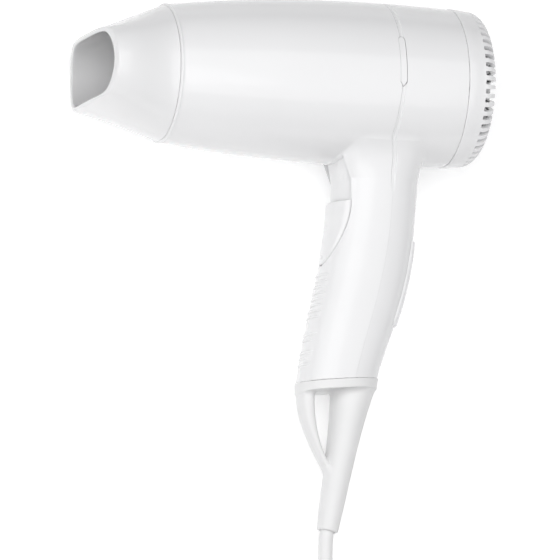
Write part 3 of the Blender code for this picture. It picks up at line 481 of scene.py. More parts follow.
def make_tie():
    """A hook-and-loop band drawn tight around the turns."""
    centres = tie_crossings()
    rings = []
    half = [(TIE_HALF_WIDTH - 0.2, 0.0), (TIE_HALF_WIDTH, 0.15), (TIE_HALF_WIDTH, TIE_THICKNESS - 0.2),
            (TIE_HALF_WIDTH - 0.25, TIE_THICKNESS)]
    section = half + [(-along, out) for along, out in reversed(half)]
    for a in around(160):
        n = np.array([math.cos(a), math.sin(a)])
        best = centres[np.argmax(centres @ n)]
        ring = []
        for along, out in section:
            r, z = best + n * (CORD_RADIUS + TIE_SLACK - 0.1 + out)
            ring.append((COIL_CENTRE[0] - r, COIL_CENTRE[1] + along, z))
        rings.append(ring)
    band = loft("cord_tie", rings, looped=True)
    return piece("cord_tie", band, BLACK, "root", ["coil_tie"], TABLE)


def plug_section(along):
    at, widths, heights = np.array(PLUG_STATIONS).T
    return np.interp(along, at, widths), np.interp(along, at, heights)


def make_plug():
    """A flat two-pin plug: a rounded body with finger ridges, a ribbed sleeve, and two pins."""
    x, y, z = PLUG_PLACE
    angles = around(64)
    rings = []
    stations = np.unique(np.concatenate([np.linspace(0.0, PLUG_LENGTH, 61), [0.15, 0.4, 29.6, 29.85]]))
    for along in stations:
        width, height = plug_section(along)
        inwards = 1.0 - min(min(along, PLUG_LENGTH - along) / PLUG_END_ROUND, 1.0)
        shrink = PLUG_END_ROUND * (1.0 - math.sqrt(max(0.0, 1.0 - inwards**2)))
        u, v = superellipse(angles, width - shrink, height - shrink, PLUG_SQUARENESS)
        if RIDGE_START < along < RIDGE_END:
            ridge = RIDGE_HEIGHT * math.cos(2 * math.pi * (along - RIDGE_START - 1.0) / RIDGE_SPACING)
            u = u * (1.0 + ridge / width * (np.abs(u) > width * 0.6))
        rings.append(level_ring(x, y + along, z, u, v))
    body = loft("plug_moulding", rings)
    sleeve = []
    for s in np.linspace(0.0, PLUG_SLEEVE + 3.0, 46):
        radius = 4.3 + 1.0 * s / (PLUG_SLEEVE + 3.0)
        if s % 3.0 > 1.4 and s < 11.0:
            radius += RIDGE_HEIGHT
        sleeve.append(round_ring(x, y - PLUG_SLEEVE + s, z, radius, angles))
    body = combine(body, "UNION", loft("plug_sleeve", sleeve))
    bore = [round_ring(x, y - PLUG_SLEEVE + s, z, 3.5, angles) for s in (-2.0, 5.0)]
    body = combine(body, "DIFFERENCE", loft("plug_bore", bore))
    made = [piece("plug_moulding", body, PVC, "root", ["plug_body"], TABLE)]
    for i, side in enumerate(PIN_SIDES, start=1):
        pin = [round_ring(x + side, y + PLUG_LENGTH + s, z, radius, angles) for s, radius in PIN_PROFILE]
        name = f"plug_contact_{i}"
        made.append(piece(name, loft(name, pin), BRASS, "root", [f"plug_pin_{i}"], TABLE))
    return made


CORD = make_cord()
TIE = make_tie()
PLUG = make_plug()

# ---------------- surfaces of the casing

BARREL_RADIUS, BARREL_CREST, BARREL_FRONT = 37.5, -19.0, -109.5
BARREL_FRONT_DROP, BARREL_REAR_REACH, BARREL_REAR_DROP = 6.2, 53.0, 1.5
BEAD_HEIGHT, BEAD_WIDTH = 0.45, 0.75
CAP_SEAM, REAR_FACE, WALL = 26.7, 41.4, 2.2
SEAM_X, SEAM_DEPTH, SEAM_HALF_WIDTH = -5.0, 0.5, 1.05
SEAM_SWING, SEAM_FOOT = 1.0, -52.0
BLEND_REACH, BLEND_LESS_IN_FRONT = 2.6, 1.2
FIELD_SHARP_ANGLE = 32.0
FRONT_ROUND, CAP_EDGE_ROUND, HANDLE_END_ROUND = 0.5, 0.3, 0.12
GRIP_TOP, TOP_FLARE, TOP_SQUARENESS = -6.0, 4.4, 3.8
# (height, centre, half length, half depth)
HANDLE_STATIONS = np.array((
    (-14.0, -7.5, 21.6, 20.8),
    (-41.0, -7.7, 20.7, 18.9),
    (-56.0, -8.3, 20.4, 17.7),
    (-70.0, -9.6, 20.5, 17.0),
    (-85.0, -11.9, 20.8, 16.4),
    (-100.0, -15.2, 20.8, 16.0),
    (-115.0, -19.5, 19.9, 15.5),
    (-128.0, -23.0, 18.9, 15.0),
    (-139.2, -25.5, 18.2, 14.6),
))
HANDLE_END, HANDLE_SQUARENESS, HANDLE_WALL = -139.2, 2.3, 2.4
END_SLOPE, END_PIVOT = 0.08, -44.0


def fitted(table, at, column, degree):
    """A polynomial through one column of a table, over another."""
    return np.polynomial.Polynomial.fit(table[:, at], table[:, column], degree)


HANDLE_CURVES = [fitted(HANDLE_STATIONS, 0, k, 6) for k in (1, 2, 3)]


def barrel_radius(x):
    front = BARREL_RADIUS - BARREL_FRONT_DROP * ((BARREL_CREST - x) / (BARREL_CREST - BARREL_FRONT)) ** 2
    rear = BARREL_RADIUS - BARREL_REAR_DROP * ((x - BARREL_CREST) / BARREL_REAR_REACH) ** 2
    return np.where(x < BARREL_CREST, front, rear)


def handle_section(y):
    """Centre, half length and half depth of the grip at a height."""
    inside = np.clip(y, HANDLE_STATIONS[-1, 0], HANDLE_STATIONS[0, 0])
    centre, half_length, half_depth = [curve(inside) for curve in HANDLE_CURVES]
    return centre, half_length, half_depth + TOP_FLARE * top_share(inside) ** 2


def top_share(y):
    """From 0 on the grip to 1 where it widens and squares off into the barrel."""
    return share(y, -46.0, -29.0)


def grip_squareness(y):
    return HANDLE_SQUARENESS + (TOP_SQUARENESS - HANDLE_SQUARENESS) * top_share(y)


def handle_end(x):
    """Height of the grip's end, which rises a little towards the rear."""
    return HANDLE_END + END_SLOPE * (x - END_PIVOT)


def smooth_min(a, b, reach):
    h = np.clip(reach - np.abs(a - b), 0.0, None) / reach
    return np.minimum(a, b) - h * h * reach / 4


def smooth_max(a, b, reach):
    return -smooth_min(-a, -b, reach)


def barrel_field(x, y, z):
    """Signed distance to the barrel, with a fine bead round its front edge."""
    from_bead = (x - BARREL_FRONT - BEAD_WIDTH) / BEAD_WIDTH
    return np.hypot(y, z) - barrel_radius(x) - BEAD_HEIGHT * np.exp(-from_bead**2)


def grip_field(x, y, z):
    centre, half_length, half_depth = handle_section(y)
    squareness = grip_squareness(y)
    u, v = np.abs(x - centre) / half_length, np.abs(z) / half_depth
    scale = np.maximum((u**squareness + v**squareness) ** (1 / squareness), 1e-3)
    return np.hypot(x - centre, z) * (1 - 1 / scale)


def seam_middle(y):
    """X of the seam: it swings forwards under the barrel, then back where it runs down the grip."""
    return SEAM_X - SEAM_SWING * share(y, -8.0, -26.0) + 2 * SEAM_SWING * share(y, -28.0, -36.0)


def seam_groove(x, y):
    """Depth of the shallow channel between the casing's halves. It fades out down the grip."""
    across = np.clip((SEAM_HALF_WIDTH - np.abs(x - seam_middle(y))) / 0.4, 0.0, 1.0)
    return SEAM_DEPTH * across * share(y, SEAM_FOOT, SEAM_FOOT + 12.0)


def casing_field(x, y, z):
    """Signed distance, about, to the outside of the barrel and grip blended together."""
    reach = BLEND_REACH - BLEND_LESS_IN_FRONT * share(x, -20.0, -26.0)
    grip = smooth_max(grip_field(x, y, z), y - GRIP_TOP, 2.0)
    body = smooth_min(barrel_field(x, y, z), grip, reach)
    body = smooth_max(body, BARREL_FRONT - x, FRONT_ROUND)
    body = smooth_max(body, x - CAP_SEAM, CAP_EDGE_ROUND)
    return smooth_max(body, handle_end(x) - y, HANDLE_END_ROUND) + seam_groove(x, y)


def gradient(field, points, step=0.02):
    x, y, z = points.T
    slope = [field(x + step, y, z) - field(x - step, y, z), field(x, y + step, z) - field(x, y - step, z),
             field(x, y, z + step) - field(x, y, z - step)]
    return np.stack(slope, axis=1) / (2 * step)


def net_points(values, axes, cells):
    """One point in each cell: the mean of where its edges cross the surface."""
    total, hits = np.zeros((len(cells), 3)), np.zeros(len(cells))
    for axis in range(3):
        others = [k for k in range(3) if k != axis]
        for a in (0, 1):
            for b in (0, 1):
                low = cells.copy()
                low[:, others[0]] += a
                low[:, others[1]] += b
                high = low.copy()
                high[:, axis] += 1
                v0, v1 = values[tuple(low.T)], values[tuple(high.T)]
                crossed = (v0 < 0) != (v1 < 0)
                t = np.where(crossed, v0 / np.where(crossed, v0 - v1, 1.0), 0.0)
                place = np.stack([axes[k][low[:, k]] for k in range(3)], axis=1).astype(float)
                place[:, axis] += t * (axes[axis][high[:, axis]] - axes[axis][low[:, axis]])
                total += place * crossed[:, None]
                hits += crossed
    return total / hits[:, None]


def net_faces(inside, number):
    """A quad around each grid edge that crosses the surface, through the points of its four cells."""
    faces = []
    for axis in range(3):
        others = [(axis + 1) % 3, (axis + 2) % 3]
        low = [slice(None)] * 3
        high = [slice(None)] * 3
        low[axis], high[axis] = slice(0, -1), slice(1, None)
        edges = np.argwhere(inside[tuple(low)] != inside[tuple(high)])
        for k in others:
            edges = edges[(edges[:, k] > 0) & (edges[:, k] < inside.shape[k] - 1)]
        quad = []
        for a, b in ((0, 0), (1, 0), (1, 1), (0, 1)):
            cell = edges.copy()
            cell[:, others[0]] -= 1 - a
            cell[:, others[1]] -= 1 - b
            quad.append(number[tuple(cell.T)])
        quad = np.stack(quad, axis=1)
        flip = ~inside[tuple(edges.T)]
        quad[flip] = quad[flip][:, ::-1]
        faces.append(quad)
    return np.vstack(faces)


def surface_net(name, field, axes, rounds=4):
    """A closed mesh of quads where the field is zero, on a grid with any spacing."""
    values = field(*np.meshgrid(*axes, indexing="ij", sparse=True))
    inside = values < 0.0
    corners = [inside[i:inside.shape[0] - 1 + i, j:inside.shape[1] - 1 + j, k:inside.shape[2] - 1 + k]
               for i in (0, 1) for j in (0, 1) for k in (0, 1)]
    filled = np.sum(corners, axis=0)
    cells = np.argwhere((filled > 0) & (filled < 8))
    number = np.full(filled.shape, -1, np.int64)
    number[tuple(cells.T)] = np.arange(len(cells))
    points = net_points(values, axes, cells)
    for _ in range(rounds):
        slope = gradient(field, points)
        points -= slope * (field(*points.T) / np.maximum((slope**2).sum(1), 1e-6))[:, None]
    mesh = bpy.data.meshes.new(name)
    mesh.from_pydata(points, [], net_faces(inside, number))
    return mesh


def read_all(items, attribute, kind, width=1):
    values = np.empty(len(items) * width, kind)
    items.foreach_get(attribute, values)
    return values.reshape(-1, 3) if width == 3 else values


def follow_field(mesh, field, within=0.02):
    """Corner normals of a cut mesh: the field's own slope on the field, the mesh's elsewhere."""
    shade(mesh, FIELD_SHARP_ANGLE)
    normals = read_all(mesh.corner_normals, "vector", np.float32, 3)
    places = read_all(mesh.vertices, "co", np.float32, 3).astype(float)
    slope = gradient(field, places)
    slope /= np.maximum(np.linalg.norm(slope, axis=1), 1e-9)[:, None]
    corner = read_all(mesh.loops, "vertex_index", np.int32)
    on_field = (np.abs(field(*places.T)) < within)[corner]
    totals = read_all(mesh.polygons, "loop_total", np.int32)
    flat = np.repeat(read_all(mesh.polygons, "normal", np.float32, 3), totals, axis=0)
    use = on_field & ((flat * slope[corner]).sum(1) > 0.8)
    normals[use] = slope[corner][use]
    return normals


def field_piece(name, mesh, field, material, body, nodes):
    """A piece whose shading follows its field in the dryer's own frame."""
    normals = follow_field(mesh, field)
    obj = piece(name, mesh, material, body, nodes, smooth=None)
    turned_normals = normals @ np.array(TURN.to_3x3()).T
    obj.data.normals_split_custom_set(turned_normals.tolist())
    return obj


def steps_between(*runs):
    """Grid places: each run is (start, end, spacing), and they join end to end."""
    parts = [np.linspace(a, b, max(2, round((b - a) / s) + 1))[:-1] for a, b, s in runs]
    return np.concatenate([*parts, [runs[-1][1]]])


# ---------------- the casing's halves

FINE = 0.75
SLIDER_TOP, SLIDER_BOTTOM, SLIDER_HALF_WIDTH, SLIDER_PROUD = -55.6, -84.4, 13.0, 0.35
TRACK_TOP, TRACK_BOTTOM, TRACK_HALF_WIDTH, TRACK_DEPTH = -34.6, -86.0, 13.9, 1.75
SLOT_LOW, SLOT_HIGH, SLOT_FRONT, SLOT_REAR = -6.6, 17.2, SEAM_X - 1.9, SEAM_X + 1.4
BUTTON_UNDERSIDE, BUTTON_ROUND, WINDOW_GAP = -0.75, 1.05, 0.9
HOOK_RADIUS, HOOK_INNER, HOOK_GAP = 37.1, 33.5, 0.2
PARTING_BEHIND, PARTING_GAP = 4.4, 0.04
RIB_HEIGHTS = (-89.5, -92.3, -95.1, -97.9, -100.7, -103.5, -106.3, -109.1,
               -117.0, -119.8, -125.4, -128.2, -131.0)
RIB_HALF_LENGTH, SHORT_RIB_HALF_LENGTH, RIB_SINK, RIB_RISE, RIB_HALF_WIDTH = 9.0, 7.0, -0.25, 0.85, 0.7


def casing_axes():
    """The grid's places along X, Y and Z: closer at the rims and the seam."""
    rim, line = 0.3, 0.2
    xs = steps_between((-112.5, BARREL_FRONT - 0.6, 0.6), (BARREL_FRONT - 0.6, BARREL_FRONT + 2.1, rim),
                       (BARREL_FRONT + 2.1, SEAM_X - 1.5, FINE), (SEAM_X - 1.5, SEAM_X + 3.5, line),
                       (SEAM_X + 3.5, CAP_SEAM - 0.8, FINE), (CAP_SEAM - 0.8, CAP_SEAM + 0.8, line))
    ys = steps_between((HANDLE_END - 0.8, HANDLE_END + 4.0, rim), (HANDLE_END + 4.0, 39.0, FINE))
    zs = steps_between((-39.0, 39.0, FINE))
    return xs, ys, zs


def seam_at(y):
    """X of the parting plane: on the barrel's seam, then behind the middle of the grip."""
    return float(seam_middle(y)) if y > SEAM_FOOT else float(handle_section(y)[0]) + PARTING_BEHIND


def parting_block(name, side):
    """All that lies in front of the parting line (side -1) or behind it (side 1)."""
    heights = [70.0, -8.0, -26.0, -28.0, -36.0, -51.9, *np.linspace(-66.0, HANDLE_END, 14), -170.0]
    line = [(seam_at(y) + side * PARTING_GAP / 2, y) for y in heights]
    outline = line + [(side * 220.0, heights[-1]), (side * 220.0, heights[0])]
    return prism(name, outline, 60.0)


def inner_barrel():
    xs = np.linspace(CAP_SEAM, BARREL_FRONT, 30)
    inside = [(float(barrel_radius(x)) - WALL, x) for x in xs]
    rear, front = (inside[0][0], 60.0), (inside[-1][0], -130.0)
    return turned("inner_barrel", [(0.0, 60.0), rear, *inside, front, (0.0, -130.0)])


def inner_grip():
    rings = []
    for y in np.linspace(-14.0, -134.0, 40):
        centre, half_length, half_depth = handle_section(y)
        inner_length, inner_depth = half_length - HANDLE_WALL, half_depth - HANDLE_WALL
        u, v = superellipse(around(96), inner_length, inner_depth, HANDLE_SQUARENESS)
        rings.append(level_ring(centre, y, 0.0, u, v))
    return loft("inner_grip", rings)


def button_half_width(y):
    """Nearly straight sides that close in a rounded point at the lower end."""
    t = share(y, SLIDER_TOP, SLIDER_BOTTOM)
    return float(SLIDER_HALF_WIDTH * np.maximum(0.01, 1.0 - t**1.8) ** 0.45)


def window_cutter():
    """The opening that the slide switch runs in, from under the barrel to the button's rounded point."""
    lower = SLIDER_TOP + (SLIDER_BOTTOM - SLIDER_TOP) * np.sin(np.linspace(0.1, math.pi / 2, 48))
    side = [(y, button_half_width(y) + WINDOW_GAP) for y in lower]
    side = [(TRACK_TOP, TRACK_HALF_WIDTH - 1.2), (TRACK_TOP - 1.2, TRACK_HALF_WIDTH), *side,
            (SLIDER_BOTTOM - 0.6, 1.6)]
    side = [(y, min(w, TRACK_HALF_WIDTH)) for y, w in side]
    outline = side + [(y, -w) for y, w in reversed(side)]
    window = loft("switch_window", [[(x, y, z) for y, z in outline] for x in (-60.0, -14.0)])
    under = BARREL_RADIUS + 0.2
    barrel = turned("above_window", [(0.0, -70.0), (under, -70.0), (under, -4.0), (0.0, -4.0)])
    return combine(window, "DIFFERENCE", barrel)


def slot_outline(x0, x1, low, high):
    """A slot with a round top and a pointed foot."""
    middle, half, point = (x0 + x1) / 2, (x1 - x0) / 2, 2.2
    arc = np.linspace(0, math.pi, 12)
    top = [(middle + half * math.cos(a), high - half + half * math.sin(a)) for a in arc]
    return [*top, (x0, low + point), (middle, low), (x1, low + point)]


def slot_cutter():
    return prism("latch_slot", slot_outline(SLOT_FRONT, SLOT_REAR, SLOT_LOW, SLOT_HIGH), 45.0)


def latch_hooks():
    """Tongues of the front half that reach behind the seam; their heads fill the slots."""
    inner, under, root = HOOK_INNER, 34.9, 36.0
    tongue = turned("tongues", [(under, -6.2), (under, 3.0), (inner, 3.0), (inner, -14.0),
                                (root, -14.0), (root, -6.2)])
    tongue = combine(tongue, "INTERSECT", box("tongue_limit", (-20.0, -7.0, -40.0), (10.0, 20.0, 40.0)))
    inner += 0.4
    head = turned("hook_heads", [(HOOK_RADIUS, -8.0), (HOOK_RADIUS, 2.0), (inner, 2.0), (inner, -8.0)])
    outline = slot_outline(SLOT_FRONT + HOOK_GAP, SLOT_REAR - HOOK_GAP, SLOT_LOW + 2 * HOOK_GAP,
                           SLOT_HIGH - HOOK_GAP)
    heads = combine(head, "INTERSECT", prism("head_limit", outline, 45.0))
    return combine(tongue, "UNION", heads)


def grip_front(y, z, offset=0.0):
    """X of the grip's front surface at a height and a distance across."""
    centre, half_length, half_depth = handle_section(y)
    a, b = half_length + offset, half_depth + offset
    squareness = grip_squareness(y)
    return centre - a * np.clip(1 - np.abs(z / b) ** squareness, 0.0, 1.0) ** (1 / squareness)


def grip_ribs():
    """Short raised bars across the front of the grip, in groups."""
    bars = []
    for i, y in enumerate(RIB_HEIGHTS):
        half = SHORT_RIB_HALF_LENGTH if y < -110.0 and i % 2 else RIB_HALF_LENGTH
        rings = []
        for z in np.linspace(-half, half, 25):
            end = math.sqrt(max(0.02, 1.0 - (abs(z) / half) ** 6))
            x = float(grip_front(y, z, RIB_SINK))
            rings.append([(x - RIB_RISE * end * math.cos(a), y + RIB_HALF_WIDTH * end * math.sin(a), z)
                          for a in around(14)])
        bars.append(loft(f"rib_{i}", rings))
    return bars


def make_casing():
    whole = surface_net("casing", casing_field, casing_axes())
    hollow = combine(whole, "DIFFERENCE", inner_barrel(), inner_grip())
    front = combine(hollow.copy(), "INTERSECT", parting_block("front_block", -1))
    front = combine(front, "DIFFERENCE", window_cutter(), slot_cutter())
    front = combine(front, "UNION", latch_hooks(), *grip_ribs())
    rear = combine(hollow, "INTERSECT", parting_block("rear_block", 1))
    rear = combine(rear, "DIFFERENCE", slot_cutter())
    field_piece("casing_front", front, casing_field, SHELL, "root", ["front_shell"])
    field_piece("casing_rear", rear, casing_field, SHELL, "root", ["rear_shell"])


make_casing()

# ---------------- rear cap

SLIT_COUNT, SLIT_WIDTH, SLIT_FRONT, SLIT_CORNER = 54, 2.1, 34.9, 0.35
SLIT_LOW, SLIT_HIGH = 23.5, 42.0
CAP_ROUND, CAP_STEP, CAP_GAP = 6.4, 0.3, 0.15
CAP_FLANK, CAP_STEP_LENGTH = 35.0, 6.0
CAP_SPIGOT, CAP_SPIGOT_WALL, CAP_SPIGOT_END = 33.8, 1.6, 22.0


def rear_cap_profile():
    """(radius, x) from the middle of the rear face, over the edge, and back on the inside."""
    corner = (float(barrel_radius(36.0)) - CAP_ROUND, REAR_FACE - CAP_ROUND)
    front, bend = CAP_SEAM + CAP_GAP, CAP_STEP * 2
    crown = float(barrel_radius(front)) + CAP_STEP

    def quarter(radius):
        return [(corner[0] + radius * math.cos(a), corner[1] + radius * math.sin(a))
                for a in np.radians(np.linspace(90.0, 0.0, 14))]

    flank = [(float(barrel_radius(x)) + CAP_STEP * float(smooth_step((CAP_FLANK - x) / CAP_STEP_LENGTH)), x)
             for x in np.linspace(CAP_FLANK, front + bend, 10)]
    edge = [(crown - bend * (1 - math.cos(a)), front + bend * (1 - math.sin(a)))
            for a in np.radians([22.0, 45.0, 68.0, 90.0])]
    inside = CAP_SPIGOT - CAP_SPIGOT_WALL
    spigot = [(CAP_SPIGOT, front), (CAP_SPIGOT, CAP_SPIGOT_END), (inside, CAP_SPIGOT_END),
              (inside, front + 1.0)]
    return [(0.0, REAR_FACE), (0.01, REAR_FACE), (12.0, REAR_FACE), *quarter(CAP_ROUND), *flank, *edge,
            *spigot, *quarter(CAP_ROUND - WALL)[::-1], (0.01, REAR_FACE - WALL), (0.0, REAR_FACE - WALL)]


def make_rear_cap():
    """Rear cap with radial slits round its rounded edge, and a spigot inside the rear half."""
    half, flat = SLIT_WIDTH / 2, SLIT_WIDTH / 2 - SLIT_CORNER
    slit = [(SLIT_FRONT, -flat), (SLIT_FRONT + SLIT_CORNER, -half), (50.0, -half), (50.0, half),
            (SLIT_FRONT + SLIT_CORNER, half), (SLIT_FRONT, flat)]
    slits = []
    for i in range(SLIT_COUNT):
        turn = Matrix.Rotation(2 * math.pi * (i + 0.5) / SLIT_COUNT, 4, "X")
        rings = [[turn @ Vector((x, y, z)) for x, y in slit] for z in (SLIT_LOW, SLIT_HIGH)]
        slits.append(loft(f"slit_{i}", rings))
    cap = turned("rear_cap", rear_cap_profile(), SLIT_COUNT * 6)
    cap = combine(cap, "DIFFERENCE", merged("slits", slits))
    piece("rear_cap", cap, SHELL, "root", ["intake_grille"], smooth=32.0)


make_rear_cap()

# ---------------- nozzle

MOUTH_X, MOUTH_HALF_WIDTH, MOUTH_HALF_HEIGHT = -144.0, 37.4, 16.4
MOUTH_SIDE_WALL, THROAT_SIDE_WALL, NOZZLE_WALL = 4.6, 3.0, 1.9
MOUTH_CORNER, MOUTH_SIDE_BOW = 13.0, 1.45
MOUTH_CUT_BACK, LIP_RISE = 3.8, 0.75
COLLAR_STEP, COLLAR_ROUND = 0.4, 0.2
COLLAR_RADIUS = float(barrel_radius(BARREL_FRONT))
NOZZLE_REAR = BARREL_FRONT - 0.08
NOZZLE_SPIGOT, NOZZLE_BORE, SPIGOT_END = 28.7, 27.3, BARREL_FRONT + 6.0
NOZZLE_STEPS = 240


def nozzle_ring(t, inset=0.0, side_inset=0.0):
    """The nozzle's section at t from 0, the collar, to 1, the mouth. The mouth's sides are cut back."""
    radius = COLLAR_RADIUS - COLLAR_STEP * (1 - t)
    half_width = radius + (MOUTH_HALF_WIDTH - radius) * smooth_step(t) - side_inset
    half_height = radius + (MOUTH_HALF_HEIGHT - radius) * t - inset
    angles = around(NOZZLE_STEPS)
    flat = np.abs(np.sin(angles)) / half_height
    bowed = np.hypot(np.cos(angles) / half_width, np.sin(angles) / (half_height * MOUTH_SIDE_BOW))
    reach = (flat**MOUTH_CORNER + bowed**MOUTH_CORNER) ** (-1 / MOUTH_CORNER)
    squashed = np.stack([reach * np.cos(angles), reach * np.sin(angles)])
    round_end = np.stack([half_width * np.cos(angles), half_height * np.sin(angles)])
    z, y = round_end + (squashed - round_end) * t
    mouth = MOUTH_X + MOUTH_CUT_BACK * np.abs(z / MOUTH_HALF_WIDTH) ** 2.5
    return np.stack([NOZZLE_REAR + (mouth - NOZZLE_REAR) * t, y, z], axis=1)


def make_nozzle():
    """Collar, flattened cone and mouth with a rounded lip, and a spigot that turns in the barrel."""
    angles = around(NOZZLE_STEPS)

    def circle(radius, x):
        return np.stack([np.full(NOZZLE_STEPS, x), radius * np.sin(angles), radius * np.cos(angles)], axis=1)

    edge = [circle(COLLAR_RADIUS - COLLAR_STEP - COLLAR_ROUND * (1 - math.sin(a)),
                   NOZZLE_REAR - COLLAR_ROUND * (1 - math.cos(a)))
            for a in np.radians([0.0, 22.0, 45.0, 68.0])]
    outer = [nozzle_ring(t) for t in np.linspace(0.02, 1.0, 40)]
    inner = [nozzle_ring(t, NOZZLE_WALL, THROAT_SIDE_WALL + (MOUTH_SIDE_WALL - THROAT_SIDE_WALL) * t)
             for t in np.linspace(1.0, 0.2, 24)]
    lip = []
    for a in np.linspace(0.0, math.pi, 9)[1:-1]:
        ring = (outer[-1] + inner[0]) / 2 + (outer[-1] - inner[0]) / 2 * math.cos(a)
        ring[:, 0] -= LIP_RISE * math.sin(a)
        lip.append(ring)
    spigot = [circle(NOZZLE_BORE, BARREL_FRONT - 1.5), circle(NOZZLE_BORE, SPIGOT_END),
              circle(NOZZLE_SPIGOT, SPIGOT_END), circle(NOZZLE_SPIGOT, NOZZLE_REAR)]
    mesh = loft("nozzle_cone", [*edge, *outer, *lip, *inner, *spigot], looped=True)
    piece("nozzle_cone", mesh, SHELL, "nozzle", ["nozzle"], smooth=FITTING_ANGLE)


make_nozzle()

# ---------------- handle fittings

PIPS = ((-67.5, 1.4), (-81.0, 0.9))
# (rise, share of the pip's size)
PIP_PROFILE = ((-0.8, 1.0), (0.1, 1.0), (0.3, 0.85), (0.42, 0.5), (0.45, 0.1))
PLATE_TOP, PLATE_BOTTOM, PLATE_HALF_WIDTH, PLATE_TAPER = -73.0, -112.0, 10.0, 1.6


def pillow(name, front, half_width, top, bottom, high, low, rounding, rows=70, columns=41):
    """A closed plate over a curved surface, its outer edge rounded off all round."""
    ys = top + (bottom - top) * (1 - np.cos(np.linspace(0.0, math.pi, rows))) / 2
    s = np.sin(np.linspace(-math.pi / 2, math.pi / 2, columns))
    rings = []
    for y in ys:
        w = max(half_width(y), 0.3)
        z = s * w
        slope = abs(half_width(y + 0.2) - half_width(y - 0.2)) / 0.4
        side = (w - np.abs(z)) / math.sqrt(1 + min(slope, 8.0) ** 2)
        edge = np.minimum(side, min(top - y, y - bottom + 0.02))
        near = 1.0 - np.clip(edge / rounding, 0.0, 1.0)
        offset = high - rounding * (1 - np.sqrt(1 - near**2))
        yy = np.full_like(z, y)
        outer = np.stack([front(yy, z, offset), yy, z], axis=1)
        inner = np.stack([front(yy, z, np.full_like(z, low)), yy, z], axis=1)
        rings.append(np.vstack([outer, inner[::-1]]))
    return loft(name, rings)


def make_button():
    """The sliding button with two small pips, and a stem that reaches in to the actuator."""
    button = pillow("switch_button", grip_front, button_half_width, SLIDER_TOP, SLIDER_BOTTOM,
                    SLIDER_PROUD, BUTTON_UNDERSIDE, BUTTON_ROUND)
    pips = []
    for y, size in PIPS:
        x = float(grip_front(y, 0.0, SLIDER_PROUD))
        rings = [[(x - up, y + size * r * math.sin(a), size * r * math.cos(a)) for a in around(20)]
                 for up, r in PIP_PROFILE]
        pips.append(loft(f"pip_{size}", rings))
    button = combine(button, "UNION", *pips)
    stem = box("stem", (float(grip_front(-70.0, 0.0)) + 0.35, -72.5, -1.8), (-24.9, -67.5, 1.8))
    button = combine(button, "UNION", stem)
    piece("switch_button", button, SWITCH, "switch", ["switch_slider"], smooth=FITTING_ANGLE)


def make_track():
    """The recessed floor that the button slides over, with a slot for its stem."""
    track = pillow("switch_recess", grip_front, lambda y: TRACK_HALF_WIDTH + 0.5, TRACK_TOP - 0.6,
                   TRACK_BOTTOM - 0.5, -TRACK_DEPTH, -TRACK_DEPTH - 1.5, 0.2)
    slot = box("track_slot", (-45.0, -73.3, -2.3), (-15.0, -56.4, 2.3))
    track = combine(track, "DIFFERENCE", slot)
    piece("switch_recess", track, SWITCH, "root", ["switch_track"], smooth=FITTING_ANGLE)


def make_inlaid_plate():
    def rear_surface(y, z, offset):
        centre = handle_section(y)[0]
        return 2 * centre - grip_front(y, z, offset)

    def half_width(y):
        return PLATE_HALF_WIDTH - PLATE_TAPER * float(share(y, PLATE_BOTTOM + 4.0, PLATE_BOTTOM)) ** 2

    plate = pillow("inlaid_plate", rear_surface, half_width, PLATE_TOP, PLATE_BOTTOM, 1.1, 0.05, 0.6)
    piece("inlaid_plate", plate, SHELL, "root", ["rear_plate"], smooth=FITTING_ANGLE)


make_button()
make_track()
make_inlaid_plate()

# ---------------- cord guard and hanging loop

# (distance along, radius)
GUARD_SLEEVE = np.array(((66.4, 4.9), (46.0, 6.1), (30.0, 6.9), (14.0, 8.3), (0.9, 10.0)))
# (centre, height, half thickness, half depth)
STRAP_STATIONS = np.array((
    (-39.9, -141.0, 3.8, 6.4),
    (-40.1, -146.0, 3.7, 6.2),
    (-39.4, -153.5, 3.4, 5.8),
    (-37.9, -160.3, 2.7, 5.4),
    (-35.5, -166.8, 2.1, 5.0),
    (-33.0, -172.3, 1.8, 4.6),
    (-30.4, -177.2, 1.8, 4.2),
    (-27.2, -182.6, 1.8, 3.8),
))
STRAP_CURVES = [fitted(STRAP_STATIONS, 1, k, 5) for k in (0, 2, 3)]
SLEEVE_CURVE = fitted(GUARD_SLEEVE, 0, 1, 3)
STRAP_SQUARENESS, STRAP_BLEND, BASE_BLEND, BASE_THICKNESS = 2.4, 1.2, 3.0, 4.2
STRAP_TOP, STRAP_END, GUARD_BORE = -140.0, -183.5, 3.55


